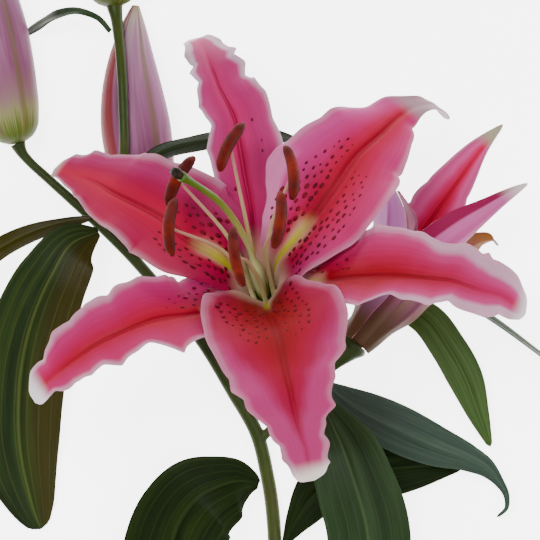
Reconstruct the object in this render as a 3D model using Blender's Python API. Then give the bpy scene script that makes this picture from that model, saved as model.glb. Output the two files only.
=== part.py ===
"""Cut stem of a pink oriental lily, lying on a surface with its open bloom turned up.

The stem carries an open bloom, a half-open bloom, three closed buds, leaves and bracts.
Tables are in millimetres, objects in metres, with +Z up. The stem lies along Y, its cut
end at -Y, and the origin is on the surface under the middle of the whole stem.
"""

import math

import bmesh
import bpy
import numpy as np
from mathutils import Matrix, Vector

MM = 0.001

# The plan is drawn from the stem's first fork, and this point of it becomes the origin.
PLAN_MIDDLE = (-1.0, 27.0, 0.0)

# Each bloom sits on its pedicel's end, leans off the vertical and heads left of +Y.
OPEN_BASE = (1.0, 48.5, 38.0)
OPEN_LEAN = 36.0
OPEN_HEADING = 17.0
HALF_BASE = (31.0, 32.0, 20.0)
HALF_LEAN = 94.0
HALF_HEADING = -37.6

TEPAL_THICK = 0.9
LEAF_THICK = 0.8
SEAT_GAP = 0.4      # between a piece and what it sits on

# Colour (linear), roughness of each material.
FINISHES = {
    "tepal_pink": ((0.62, 0.06, 0.14), 0.45),
    "tepal_outside": ((0.55, 0.22, 0.33), 0.5),
    "bud_mauve": ((0.42, 0.16, 0.24), 0.5),
    "leaf_green": ((0.04, 0.10, 0.025), 0.4),
    "stem_green": ((0.10, 0.17, 0.03), 0.5),
    "filament_green": ((0.45, 0.50, 0.22), 0.5),
    "anther_rust": ((0.22, 0.03, 0.012), 0.85),
    "stigma_purple": ((0.09, 0.02, 0.04), 0.4),
}


# Open bloom's tepals. A row is: out from the axis, up along it, aside, half-width towards
# the lower azimuth, half-width towards the higher azimuth, cup of the margins.
INNER_CLAW = [(5.2, 2.4, 0, 2.8, 2.8, 0.30), (6.2, 8, 0, 3.6, 3.6, 0.35)]
OUTER_CLAW = [(6.9, 2.4, 0, 3.0, 3.0, 0.25), (8.2, 8, 0, 3.8, 3.8, 0.35)]
OPEN_TEPALS = {
    "tepal_top": dict(azimuth=1, ruffle=1.3, waves=5.5, phase=0.4, rows=OUTER_CLAW + [
        (12, 16, 2, 6.5, 6.5, 0.38), (20, 25.5, 4, 9, 11, 0.33), (29, 31.5, 5, 10, 14, 0.28),
        (37, 35.5, 6, 10.5, 15, 0.22), (47, 38.5, 7, 10, 14, 0.18), (62, 39.5, 5, 8, 11, 0.12),
        (75, 38, 4, 7, 9.5, 0.05), (86, 34, 3, 6, 7.5, 0), (92, 30.5, 1.5, 4.5, 5, 0),
        (96, 27, -1, 1.5, 1.5, 0)]),
    "tepal_upper_right": dict(azimuth=62, ruffle=1.4, waves=4.5, phase=1.0, rows=INNER_CLAW + [
        (8.8, 17.5, 2.5, 7, 7.5, 0.40), (13, 25, 6, 12, 10.5, 0.38), (19, 30, 8, 19, 15, 0.32),
        (32, 36, 8, 24, 21.5, 0.24), (47, 38.5, 5, 22, 19.6, 0.15), (60, 37.5, 4, 16.5, 12.5, 0.05),
        (70, 35, 2, 10.5, 7, 0), (78, 32, 2.1, 5, 3.8, 0), (83.7, 27, 3.4, 3, 2.7, 0),
        (84.9, 20.5, 4.8, 1.6, 1.6, 0)]),
    "tepal_right": dict(azimuth=122, ruffle=1.3, waves=5.5, phase=2.2, rows=OUTER_CLAW + [
        (13, 13.5, 2.5, 8.5, 6.5, 0.30), (18, 18.5, 3.5, 11, 9, 0.22), (25, 24.5, 5, 13, 11, 0.24),
        (33, 29.5, 6, 14.5, 12, 0.24), (43, 35, 7, 16.5, 11.5, 0.26), (54, 38, 6.5, 17, 11, 0.28),
        (64, 39.3, 6, 16, 10.5, 0.27), (74, 39, 5, 15, 10, 0.25), (84, 37, 5.5, 13.5, 9.5, 0.18),
        (91, 33, 4, 10, 8, 0.08), (96, 28, 4.2, 6.8, 4.4, 0), (98.5, 25, 4, 1.5, 1.5, 0)]),
    "tepal_bottom": dict(azimuth=179, ruffle=1.2, waves=4.5, phase=0.0, rows=INNER_CLAW[:1] + [
        (7, 6.2, 0, 3.6, 3.5, 0.6), (11.8, 12, 0, 6.4, 8.2, 0.86), (19, 19.5, 0.3, 10, 15.3, 0.74),
        (28, 27.5, 0.5, 16.5, 21, 0.5), (39, 35.4, 0, 24, 23.2, 0.2), (54, 38.5, 1, 20, 20, 0.05),
        (69, 39.5, 2, 13.5, 16, 0), (79, 37, 3, 9, 10.5, 0), (86, 31.5, 3, 6.7, 7.5, 0),
        (90, 26, 3.6, 5.2, 5.5, 0), (91.8, 22, 3.4, 1.5, 1.5, 0)]),
    "tepal_lower_left": dict(azimuth=245, ruffle=1.3, waves=5.0, phase=1.5, rows=OUTER_CLAW + [
        (12, 14, -3, 4, 9.5, 0.32), (17, 19.8, -6, 4.8, 12.5, 0.2), (23.5, 25.8, -8.5, 9, 15.5, 0.12),
        (32, 32, -8, 14.5, 14, 0.14), (41, 36.5, -5, 14.5, 16, 0.22), (54, 38, -1, 12, 14.5, 0.26),
        (64, 37, 2, 10.5, 13.5, 0.24), (75, 33, 5, 8.5, 10.5, 0.16), (82, 28, 8, 6, 8, 0.08),
        (86, 24, 9, 4, 5, 0), (88, 21, 9, 1.5, 1.5, 0)]),
    "tepal_upper_left": dict(azimuth=310, ruffle=1.3, waves=4.5, phase=2.8, rows=INNER_CLAW + [
        (7.3, 17.5, -3, 7, 8.5, 0.40), (11, 28, -6, 10, 17.5, 0.38), (20, 35, -7, 15, 22, 0.27),
        (30, 38.5, -4, 17.5, 21.5, 0.20), (38, 40, -3, 15.5, 19.5, 0.15), (50, 40, -1, 11.5, 17.5, 0.10),
        (59, 38, 2, 8.5, 12.5, 0.05), (69, 35, 4, 5, 9.5, 0), (76, 32, 6, 3, 6, 0),
        (80, 29, 7, 1.5, 1.5, 0)]),
}

# Open bloom's stamens: azimuth at the foot, then where the filament meets the anther
# (azimuth, out, up), and the anther's two ends from there (side, up-slope, along the axis).
STAMENS = [
    dict(foot=2, azimuth=12, out=18.0, up=62.0, lower=(-6, -8.2, 0), upper=(6, 8.2, -1)),
    dict(foot=63, azimuth=90, out=20.5, up=62.0, lower=(-1.5, -10.5, -0.5), upper=(1.5, 10.5, 0)),
    dict(foot=123, azimuth=145, out=21.0, up=62.0, lower=(-3.7, -10, -1), upper=(3.7, 10, 0)),
    dict(foot=180, azimuth=190, out=27.0, up=62.0, lower=(-1.2, -11, -2), upper=(1.2, 11, 0)),
    dict(foot=245, azimuth=253, out=23.5, up=62.0, lower=(-3.2, -10.8, -1), upper=(3.2, 10.8, -1)),
    dict(foot=311, azimuth=308, out=20.0, up=60.0, lower=(-6.5, -7.7, -2), upper=(6.5, 7.7, -1)),
]
FILAMENT_RING = 3.9     # radius of the ring of filaments round the ovary

# Pistil of the open bloom: side, up-slope, along the axis, radius.
PISTIL = [(0, 0, 2.6, 2.2), (0, 0, 8, 2.6), (0, 0, 18, 2.4), (0, 0, 22, 1.5), (-1, 0, 40, 1.2),
          (-6, 1.5, 60, 1.2), (-12, 2.5, 71, 1.3), (-14.5, 3, 75, 1.8)]
STIGMA = [(-14.7, 3.05, 75.2, 1.6), (-15.7, 3.3, 76.8, 1.95), (-16.9, 3.7, 78.4, 1.3)]

# Half-open bloom's tepals, in its own frame, with the same columns as the open bloom's.
HALF_INNER = [(3.6, 1.8, 0, 2.2, 2.2, 0.30), (4.6, 8, 0, 3.4, 3.4, 0.35)]
HALF_OUTER = [(5.2, 1.8, 0, 2.6, 2.6, 0.25), (6.4, 8, 0, 3.6, 3.6, 0.30)]
HALF_TEPALS = {
    "half_tepal_low": dict(azimuth=344, rows=HALF_OUTER + [
        (9, 20, 0, 6.5, 6.5, 0.3), (12.5, 36, 0, 11, 11, 0.25), (14.8, 52, 0, 11.5, 10.5, 0.2),
        (14.2, 68, -0.7, 9.2, 6.0, 0.15), (12.8, 84, -1.6, 4.6, 2.2, 0.1), (11.5, 94.5, -1.4, 0.5, 0.5, 0)]),
    "half_tepal_under": dict(azimuth=44, rows=HALF_INNER + [
        (6.2, 20, 0, 5.5, 5.5, 0.35), (9, 34, 0, 7.5, 7.5, 0.3), (11, 44, 0, 7, 7, 0.25),
        (12.5, 52, 0, 4.5, 4.5, 0.2), (13, 57, 0, 1.3, 1.3, 0)]),
    "half_tepal_side": dict(azimuth=104, rows=HALF_OUTER + [
        (9.5, 20, 0, 6, 6, 0.3), (12.6, 34, 0, 7.5, 7.5, 0.2), (14, 45, 0, 5.8, 5.8, 0.2),
        (15.8, 52, 0, 4.4, 4.4, 0.45), (18, 57.5, 0.5, 3.4, 3.4, 0.8), (20.8, 59, 1, 1.5, 1.5, 0.4)]),
    "half_tepal_near": dict(azimuth=164, rows=HALF_INNER + [
        (6.2, 20, 0, 5.5, 5.5, 0.35), (9.5, 36, -1, 6.5, 9.5, 0.3), (14, 52, -3.5, 2.8, 9.3, 0.2),
        (18.5, 66, -5.5, 1.4, 5.4, 0.1), (21, 75, -7, 1.0, 2.3, 0), (22, 79.8, -8.2, 0.5, 0.5, 0)]),
    "half_tepal_back": dict(azimuth=224, rows=HALF_OUTER + [
        (9.5, 20, 0, 6.5, 9, 0.3), (14.5, 33, 1, 9, 11.5, 0.25), (20, 42, 4, 7.5, 8.5, 0.15),
        (24, 48, 6.5, 4.8, 5, 0.05), (26.5, 51.5, 8, 1.6, 1.6, 0)]),
    "half_tepal_far": dict(azimuth=284, rows=HALF_INNER + [
        (6.2, 20, 0, 5.5, 5.5, 0.35), (7, 34, -0.5, 7.5, 6, 0.4), (8.8, 44.8, -1, 7, 5.5, 0.4),
        (13.2, 49, -1.5, 5, 4.5, 0.4), (19.8, 52.6, -2, 1.6, 1.6, 0.2)]),
}
# Its stamens and pistil are still held together: foot and end of a filament, and the anther.
HALF_FILAMENT = [(2.6, 3.4, 0.5), (3.2, 14, 0.5), (4.3, 29, 0.5)]
HALF_ANTHER = [(4.3, 29.6, 0.6), (4.5, 33, 1.3), (4.7, 39, 1.4), (4.9, 45, 0.6)]
HALF_PISTIL = [(0, 0, 1.6, 1.4), (0, 0, 4, 1.6), (0, 0, 18, 1.7), (0, 0, 23, 1.2),
               (0, 0, 44, 1.1), (0, 0, 48, 2.0), (0, 0, 50, 1.2)]

# Stem and pedicels: x, y, z, radius. The pedicels start inside what they grow from.
MAIN_STEM = [(9, -184, 2.6, 2.6), (8.5, -120, 3.4, 2.6), (5.5, -60, 4.4, 2.55), (2, -15, 6, 2.5),
             (-2, 1, 7.5, 2.5), (-10, 15, 9.5, 2.35), (-21, 33, 11.5, 2.2), (-33, 48, 12.6, 2.1),
             (-44, 61, 13, 2.1), (-56, 73, 13, 2.0), (-66, 82, 13, 1.8), (-76, 91, 13, 1.7),
             (-80.8, 95.4, 13.1, 1.7), (-83.8, 98.8, 13.2, 2.0), (-84.6, 100.9, 13.3, 2.5)]
OPEN_PEDICEL = [(-10, 15, 9.5, 1.6), (-5, 25, 13, 1.9), (0, 36, 20, 1.9), (2.2, 43.5, 29, 2.2),
                (1.7, 46.3, 34.6, 4.4), (1.0, 48.5, 38.0, 7.4), (0.75, 49.3, 39.2, 6.6)]
HALF_PEDICEL = [(-1, -2, 7.5, 1.6), (7, 6, 8.5, 1.8), (17, 16, 12.5, 1.8), (25, 25, 17.8, 2.2),
                (29, 29.4, 19.6, 4.2), (31, 32, 20, 6.0), (31.6, 32.8, 20, 5.0)]
MIDDLE_PEDICEL = [(-44, 61, 13, 1.5), (-42.5, 66, 13.3, 1.8), (-41, 71, 13.6, 2.2), (-40, 74.6, 13.8, 3.2)]
TOP_PEDICEL = [(-54, 71, 13, 1.5), (-51, 78, 17, 1.8), (-48.8, 88, 24.2, 1.8), (-47.6, 99, 27.4, 1.75),
               (-47.8, 112, 27.2, 1.75), (-48.6, 128, 24.4, 1.8), (-49.8, 140, 19.6, 2.0),
               (-50.8, 146.6, 16.7, 2.2), (-51.1, 148.6, 16.1, 2.5)]

# Closed buds: foot, tip, greatest radius and how far the middle bows aside.
BUDS = {
    "bud_left": dict(foot=(-85.2, 102.0, 13.3), tip=(-104, 191, 11.8), radius=12.6, bow=0),
    "bud_middle": dict(foot=(-39.7, 75.9, 14.0), tip=(-44, 150, 12.2), radius=12.6, bow=-2.6),
    "bud_top": dict(foot=(-51.3, 149.5, 16.0), tip=(-60, 237, 9.8), radius=12.4, bow=0),
}

# Leaves. A row is: x, y, z, half-width on the left of the rib, half-width on its right, cup.
# face is the way the upper side looks.
LEAVES = {
    "leaf_long_left": dict(face=(0, 0, 1), rows=[
        (-57, 71, 15.2, 1.6, 1.6, 0.3), (-66, 67, 20, 10.5, 7, 0.3), (-73, 56, 21, 13.5, 11, 0.2),
        (-79, 43, 18, 15.5, 13, 0.1), (-83, 29, 14, 16, 14.5, 0), (-85, 12, 10, 15.5, 15.5, -0.05),
        (-84.5, -6, 6.5, 13.5, 14.5, -0.05), (-82, -19, 4, 10, 11, 0), (-79.5, -28, 2.6, 6.5, 6.5, 0),
        (-77.5, -33, 2.4, 3, 3, 0)]),
    "leaf_far_left": dict(face=(0.1, -0.9, 0.45), rows=[
        (-58.9, 76.2, 16.2, 1.6, 1.6, 0.2), (-67, 75, 20, 5, 5, 0.2), (-77, 72, 23, 6.6, 6.6, 0.1),
        (-91, 65, 22, 6.2, 6.2, 0), (-104, 56, 16, 5.4, 5.4, 0), (-114, 47, 9, 3.4, 3.4, 0),
        (-120, 41, 5, 1, 1, 0)]),
    "leaf_narrow_top": dict(face=(0, -0.85, 0.53), rows=[
        (-46.5, 78, 23, 1.2, 1.2, 0.1), (-44, 90, 28.5, 2.5, 2.5, 0.1), (-35, 98.5, 30.5, 4.6, 4.6, 0.1),
        (-23, 102, 31, 4.8, 4.8, 0.1), (-8, 103.5, 31, 4.6, 4.6, 0), (5, 103.5, 30.5, 4.4, 4.4, 0),
        (12, 103, 30, 1.0, 1.0, 0)]),
    "leaf_lower_left": dict(face=(0, 0, 1), rows=[
        (-1.4, -17, 7.8, 1.6, 1.6, 0.3), (-4.5, -16, 10.5, 5.6, 4.2, 0.3), (-9, -15.6, 13.5, 11.4, 7.6, 0.25),
        (-15, -17.2, 16.5, 14.6, 10.8, 0.2), (-21.7, -20.5, 18, 17.5, 14, 0.15),
        (-28, -28, 16.5, 18.5, 15.5, 0.05), (-32, -38, 13.5, 18.5, 16, 0),
        (-34.5, -52, 9.5, 16, 15, -0.05), (-35.5, -68, 6, 12, 12, -0.05),
        (-35.5, -84, 3.5, 5.5, 5.5, 0), (-35, -93, 2.2, 1.2, 1.2, 0)]),
    "leaf_lower_right": dict(face=(0, 0, 1), rows=[
        (8.2, -37.5, 5.6, 1.3, 1.3, 0.2), (13, -28, 7.2, 4.5, 6, 0.15), (19, -20, 7.7, 8, 9, 0.1),
        (29, -14, 7.2, 10.5, 10.5, 0.05), (43, -12, 6.5, 10, 10, 0), (57, -11, 5, 7, 7, 0),
        (70, -11.5, 3.5, 1, 1, 0)]),
    "leaf_front_right": dict(face=(0, 0, 1), rows=[
        (19.3, 14.2, 13.6, 1.6, 1.6, 0.3), (23, 7, 19, 6, 6, 0.3), (27.5, -3, 22, 11.5, 11, 0.2),
        (32, -16, 20.5, 14, 13.5, 0.1), (36, -30, 16.5, 15, 14, 0), (38, -45, 11.5, 14, 14, -0.05),
        (39, -62, 6.5, 9.5, 9.5, -0.05), (38, -77, 3.5, 4, 4, 0), (37.5, -83, 2.4, 1.2, 1.2, 0)]),
    "leaf_hooked_right": dict(face=(0, 0.25, 0.97), rows=[
        (21.4, 18.0, 13.4, 1.6, 1.6, 0.3), (34, 9, 13.5, 7, 7, 0.2), (48, 2, 14, 8.5, 8.5, 0.1),
        (61.5, -4, 12.5, 7.3, 7, 0.05), (72, -8.2, 10.5, 5.4, 4.4, 0), (78, -11.2, 9, 3.7, 3.3, 0),
        (82.5, -15.8, 7.5, 1.9, 1.9, 0), (85.6, -21.5, 6, 1.0, 1.0, 0), (85.6, -25.5, 5, 0.7, 0.7, 0),
        (82.3, -28.8, 4, 0.5, 0.5, 0)]),
    "leaf_pale_right": dict(face=(0, 0, 1), rows=[
        (28, 25.8, 14.4, 1.3, 1.3, 0.2), (33, 34, 9.5, 2, 2, 0.1), (40, 41.5, 6.2, 2.6, 3, 0.1),
        (48.5, 45, 6, 3.6, 5, 0.05), (57, 41.5, 9, 5.4, 6.2, 0), (65, 31, 11, 6.2, 6.4, 0),
        (71, 20, 10, 6.2, 6.2, 0), (75.5, 8, 7.5, 4, 4, 0), (80, -4, 4.5, 0.9, 0.9, 0)]),
    "leaf_far_right": dict(face=(0.4, 0.85, 0.35), rows=[
        (22.4, 25.5, 14.2, 1.2, 1.2, 0.2), (27, 34, 8, 1.3, 1.3, 0), (35, 44, 4, 1.3, 1.3, 0),
        (48, 51.5, 2.4, 1.4, 1.4, 0),
        (63, 51, 4.2, 2.2, 2.2, 0), (76, 43.5, 6.3, 2.7, 2.7, 0), (98, 28, 7, 2.8, 2.8, 0),
        (110, 19, 5.5, 2, 2, 0), (118, 13, 4, 0.8, 0.8, 0)]),
    "bract_top": dict(face=(0.1, 0.5, 0.85), rows=[
        (-52.6, 140.5, 20.6, 0.9, 0.9, 0.1), (-56.5, 145, 22, 1.1, 1.1, 0.1), (-63, 147.5, 21, 1.5, 1.5, 0.1),
        (-71, 146.5, 15.5, 2.1, 2.1, 0.1), (-78, 143.6, 7.5, 2.3, 2.3, 0), (-83.5, 140.3, 2.2, 1.5, 1.5, 0)]),
    "leaf_stem_right": dict(face=(0, 0, 1), rows=[
        (9.4, -72, 6, 1.8, 1.8, 0.3), (18, -76, 11, 7, 7, 0.25), (29, -86, 13, 12, 12, 0.15),
        (39, -100, 11.5, 14, 14, 0.05), (46, -117, 8, 12.5, 12.5, 0), (51, -134, 5, 7, 7, 0),
        (54, -146, 3, 1.2, 1.2, 0)]),
    "leaf_stem_left": dict(face=(0, 0, 1), rows=[
        (4.6, -104, 5.5, 1.8, 1.8, 0.3), (-4, -107, 11, 7, 7, 0.25), (-15, -116, 13, 12, 12, 0.15),
        (-25, -130, 11.5, 13.5, 13.5, 0.05), (-32, -146, 8, 11.5, 11.5, 0), (-37, -162, 5, 6.5, 6.5, 0),
        (-40, -173, 3, 1.2, 1.2, 0)]),
}


def make_material(name):
    """A Principled material with the colour and roughness of FINISHES."""
    colour, roughness = FINISHES[name]
    material = bpy.data.materials.new(name)
    material.use_nodes = True
    shader = material.node_tree.nodes["Principled BSDF"]
    shader.inputs["Base Color"].default_value = (*colour, 1.0)
    shader.inputs["Roughness"].default_value = roughness
    shader.inputs["Metallic"].default_value = 0.0
    return material


def smooth_rows(rows, stations):
    """Rows read off the smooth curve through the given ones, evenly spaced by length.

    A row's first three numbers are a place, and its other numbers ride along.
    """
    rows = np.array(rows, dtype=float)
    knots = np.append(0.0, np.cumsum(np.linalg.norm(np.diff(rows[:, :3], axis=0), axis=1)))
    slopes = np.gradient(rows, knots, axis=0)
    dense = np.linspace(0.0, knots[-1], 30 * len(rows))
    span = np.clip(np.searchsorted(knots, dense, side="right") - 1, 0, len(knots) - 2)
    reach = (knots[span + 1] - knots[span])[:, None]
    part = (dense - knots[span])[:, None] / reach
    curve = (rows[span] * (1 + 2 * part) * (1 - part) ** 2
             + slopes[span] * reach * part * (1 - part) ** 2
             + rows[span + 1] * part ** 2 * (3 - 2 * part)
             + slopes[span + 1] * reach * part ** 2 * (part - 1))
    length = np.append(0.0, np.cumsum(np.linalg.norm(np.diff(curve[:, :3], axis=0), axis=1)))
    even = np.linspace(0.0, length[-1], stations)
    return np.stack([np.interp(even, length, column) for column in curve.T], axis=1)


def unit(vectors):
    """The rows scaled to length one."""
    return vectors / np.linalg.norm(vectors, axis=-1, keepdims=True)


def add_object(name, bm, material, parent):
    """Turn the millimetre mesh into an object under its parent, shaded smooth."""
    bm.normal_update()
    bmesh.ops.recalc_face_normals(bm, faces=bm.faces[:])
    bmesh.ops.scale(bm, vec=(MM, MM, MM), verts=bm.verts[:])
    mesh = bpy.data.meshes.new(name)
    bm.to_mesh(mesh)
    bm.free()
    mesh.shade_smooth()
    mesh.materials.append(material)
    piece = bpy.data.objects.new(name, mesh)
    bpy.context.scene.collection.objects.link(piece)
    piece.parent = parent
    return piece


def add_blade(name, rows, material, parent, across, along, thick, side=None, face=None,
              ruffle=0.0, waves=0.0, phase=0.0, groove=0.0):
    """A leaf or tepal: a grid laid along its rib, with a Solidify for its thickness.

    side is the way the blade's second half reaches, or face the way its upper side looks.
    Margins lift by the cup and swing by the ruffle, and the rib lies in a groove.
    """
    line = smooth_rows(rows, along + 1)
    places = line[:, :3]
    ways = unit(np.gradient(places, axis=0))
    if side is not None:
        sides = unit(np.array(side) - ways * (ways @ np.array(side))[:, None])
    else:
        sides = unit(np.cross(ways, np.array(face)))
    ups = np.cross(sides, ways)

    bm = bmesh.new()
    bmesh.ops.create_grid(bm, x_segments=across, y_segments=along, size=1.0)
    for vert in bm.verts:
        u = vert.co.x
        t = (vert.co.y + 1) / 2
        k = round(t * along)
        half = line[k, 3] if u < 0 else line[k, 4]
        swing = math.sin(2 * math.pi * waves * t + phase + (1.3 if u < 0 else 0.0))
        lift = line[k, 5] * half * abs(u) ** 1.5
        lift += ruffle * swing * abs(u) ** 3 * math.sin(math.pi * t) ** 0.5
        lift -= groove * max(0.0, 1 - 3 * abs(u)) * math.sin(math.pi * t)
        place = places[k] + sides[k] * u * half + ups[k] * lift
        vert.co = Vector(place)
    bmesh.ops.triangulate(bm, faces=bm.faces[:])
    blade = add_object(name, bm, material, parent)
    skin = blade.modifiers.new("thickness", "SOLIDIFY")
    skin.thickness = thick * MM
    skin.offset = 0.0
    return blade


def add_round(name, rows, material, parent, sides, rings, relief=None):
    """A round body strung along a route of x, y, z, radius rows, with flat ends.

    It is a sphere's rings moved onto the route. relief(t, angle) scales the radius.
    """
    line = smooth_rows(rows, rings)
    places = line[:, :3]
    ways = unit(np.gradient(places, axis=0))
    first = unit(np.cross(ways[0], (0.0, 0.0, 1.0) if abs(ways[0][2]) < 0.9 else (1.0, 0.0, 0.0)))
    across = [first]
    for way in ways[1:]:
        across.append(unit(across[-1] - way * (across[-1] @ way)))

    bm = bmesh.new()
    bmesh.ops.create_uvsphere(bm, u_segments=sides, v_segments=rings + 1, radius=1.0)
    for vert in bm.verts:
        ring = round(math.acos(max(-1.0, min(1.0, vert.co.z))) / math.pi * (rings + 1))
        k = min(max(ring - 1, 0), rings - 1)
        at_pole = ring in (0, rings + 1)
        angle = math.atan2(vert.co.y, vert.co.x)
        radius = 0.0 if at_pole else line[k, 3]
        if relief:
            radius *= relief(k / (rings - 1), angle)
        up = np.cross(across[k], ways[k])
        place = places[k] + radius * (math.cos(angle) * across[k] + math.sin(angle) * up)
        vert.co = Vector(place)
    return add_object(name, bm, material, parent)


def fuse(body, limbs):
    """Union the limbs into the body, so that they are one grown piece."""
    group = bpy.data.collections.new(body.name + "_limbs")
    for limb in limbs:
        group.objects.link(limb)
    join = body.modifiers.new("join", "BOOLEAN")
    join.operation = "UNION"
    join.solver = "EXACT"
    join.operand_type = "COLLECTION"
    join.collection = group
    bpy.context.view_layer.update()
    joined = body.evaluated_get(bpy.context.evaluated_depsgraph_get())
    mesh = bpy.data.meshes.new_from_object(joined)
    body.modifiers.clear()
    body.data = mesh
    for limb in limbs:
        bpy.data.objects.remove(limb)
    bpy.data.collections.remove(group)


def add_empty(name, base, lean, heading, parent):
    """A bloom's frame: Z along its axis, Y up its slope, X aside."""
    empty = bpy.data.objects.new(name, None)
    bpy.context.scene.collection.objects.link(empty)
    empty.parent = parent
    turn = Matrix.Rotation(math.radians(heading), 4, "Z") @ Matrix.Rotation(math.radians(-lean), 4, "X")
    empty.matrix_local = Matrix.Translation(Vector(base) * MM) @ turn
    return empty


def from_axis(azimuth, out, up, aside=0.0):
    """Bloom coordinates of a point at an azimuth from the slope's Y towards X."""
    a = math.radians(azimuth)
    return (out * math.sin(a) + aside * math.cos(a), out * math.cos(a) - aside * math.sin(a), up)


def add_tepal(name, azimuth, rows, material, parent, across, along, ruffle=0.0, waves=0.0, phase=0.0):
    """One tepal from rows of out, up, aside, two half-widths and cup."""
    placed = [(*from_axis(azimuth, row[0], row[1], row[2]), *row[3:]) for row in rows]
    return add_blade(name, placed, material, parent, across, along, TEPAL_THICK,
                     side=from_axis(azimuth, 0, 0, 1), ruffle=ruffle, waves=waves, phase=phase,
                     groove=0.6)


def add_stamen(number, spec, filament_material, anther_material, parent):
    """A filament from the ring round the ovary, and its anther hung by the middle."""
    foot = from_axis(spec["foot"], FILAMENT_RING, 2.8)
    low = from_axis(spec["foot"], FILAMENT_RING + 0.6, 14)
    end = Vector(from_axis(spec["azimuth"], spec["out"], spec["up"]))
    middle = from_axis(spec["azimuth"], 0.30 * spec["out"] + 1.5, 0.55 * spec["up"])
    filament = [(*foot, 0.95), (*low, 0.95), (*middle, 0.85), (*end, 0.6)]
    add_round(f"filament_{number}", filament, filament_material, parent, sides=6, rings=9)
    lower = Vector(spec["lower"])
    upper = Vector(spec["upper"])
    hang = end + Vector((0, 0, 1.7 + SEAT_GAP))
    anther = [(*(hang + lower), 0.7), (*(hang + 0.6 * lower), 1.5), (*hang, 1.7),
              (*(hang + 0.6 * upper), 1.5), (*(hang + upper), 0.7)]
    add_round(f"anther_{number}", anther, anther_material, parent, sides=8, rings=8,
              relief=lambda t, angle: 1 - 0.12 * math.cos(2 * angle) ** 8)


def add_half_stamens(filament_material, anther_material, parent):
    """Pistil, six filaments and six anthers of the half-open bloom, still held together."""
    add_round("half_pistil", HALF_PISTIL, filament_material, parent, sides=8, rings=12)
    for number in range(1, 7):
        azimuth = 60 * number - 16
        filament = [(*from_axis(azimuth, out, up), radius) for out, up, radius in HALF_FILAMENT]
        add_round(f"half_filament_{number}", filament, filament_material, parent, sides=5, rings=5)
        anther = [(*from_axis(azimuth, out, up), radius) for out, up, radius in HALF_ANTHER]
        add_round(f"half_anther_{number}", anther, anther_material, parent, sides=6, rings=6)


def bud_relief(t, angle):
    """Six tepals folded shut: three broad ribs with a seam between each two."""
    return 1 - 0.07 * math.sin(math.pi * t) * abs(math.cos(1.5 * angle)) ** 6


def add_bud(name, foot, tip, radius, bow, material, parent):
    """A closed bud, widest below its middle, with a slim beak; its middle bows aside."""
    foot = Vector(foot)
    reach = Vector(tip) - foot
    aside = Vector((bow, 0, 0))
    shares = [(0.0, 0.22), (0.012, 0.42), (0.04, 0.62), (0.10, 0.78), (0.20, 0.90), (0.30, 0.97),
              (0.42, 1.0), (0.60, 0.87), (0.78, 0.60), (0.92, 0.31), (1.0, 0.10)]
    rows = [(*(foot + reach * t + aside * math.sin(math.pi * t ** 1.5)), radius * share)
            for t, share in shares]
    add_round(name, rows, material, parent, sides=18, rings=13, relief=bud_relief)


def build():
    """Clear the scene and model every piece."""
    for old in list(bpy.data.objects):
        bpy.data.objects.remove(old)
    finish = {name: make_material(name) for name in FINISHES}

    root = bpy.data.objects.new("cut_lily", None)
    bpy.context.scene.collection.objects.link(root)
    root.location = -Vector(PLAN_MIDDLE) * MM

    stem = add_round("stem", MAIN_STEM, finish["stem_green"], root, sides=10, rings=34)
    limbs = [
        add_round("open_pedicel", OPEN_PEDICEL, finish["stem_green"], root, sides=12, rings=12),
        add_round("half_pedicel", HALF_PEDICEL, finish["stem_green"], root, sides=10, rings=11),
        add_round("middle_pedicel", MIDDLE_PEDICEL, finish["stem_green"], root, sides=8, rings=5),
        add_round("top_pedicel", TOP_PEDICEL, finish["stem_green"], root, sides=8, rings=14),
    ]
    fuse(stem, limbs)

    open_bloom = add_empty("open_bloom", OPEN_BASE, OPEN_LEAN, OPEN_HEADING, root)
    for name, spec in OPEN_TEPALS.items():
        add_tepal(name, material=finish["tepal_pink"], parent=open_bloom, across=6, along=18, **spec)
    for number, spec in enumerate(STAMENS, start=1):
        add_stamen(number, spec, finish["filament_green"], finish["anther_rust"], open_bloom)
    add_round("pistil", PISTIL, finish["filament_green"], open_bloom, sides=8, rings=14)
    add_round("stigma", STIGMA, finish["stigma_purple"], open_bloom, sides=9, rings=5,
              relief=lambda t, angle: 1 - 0.15 * math.cos(1.5 * angle) ** 2)

    half_bloom = add_empty("half_bloom", HALF_BASE, HALF_LEAN, HALF_HEADING, root)
    for name, spec in HALF_TEPALS.items():
        add_tepal(name, material=finish["tepal_outside"], parent=half_bloom, across=4, along=13, **spec)

    add_half_stamens(finish["filament_green"], finish["anther_rust"], half_bloom)

    for name, spec in BUDS.items():
        add_bud(name, material=finish["bud_mauve"], parent=root, **spec)
    for name, spec in LEAVES.items():
        add_blade(name, spec["rows"], finish["leaf_green"], root, across=4, along=13,
                  thick=LEAF_THICK, face=spec["face"], groove=0.5)


build()
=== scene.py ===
import math
import random

import bmesh
import bpy
import numpy as np
from mathutils import Matrix, Vector


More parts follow.
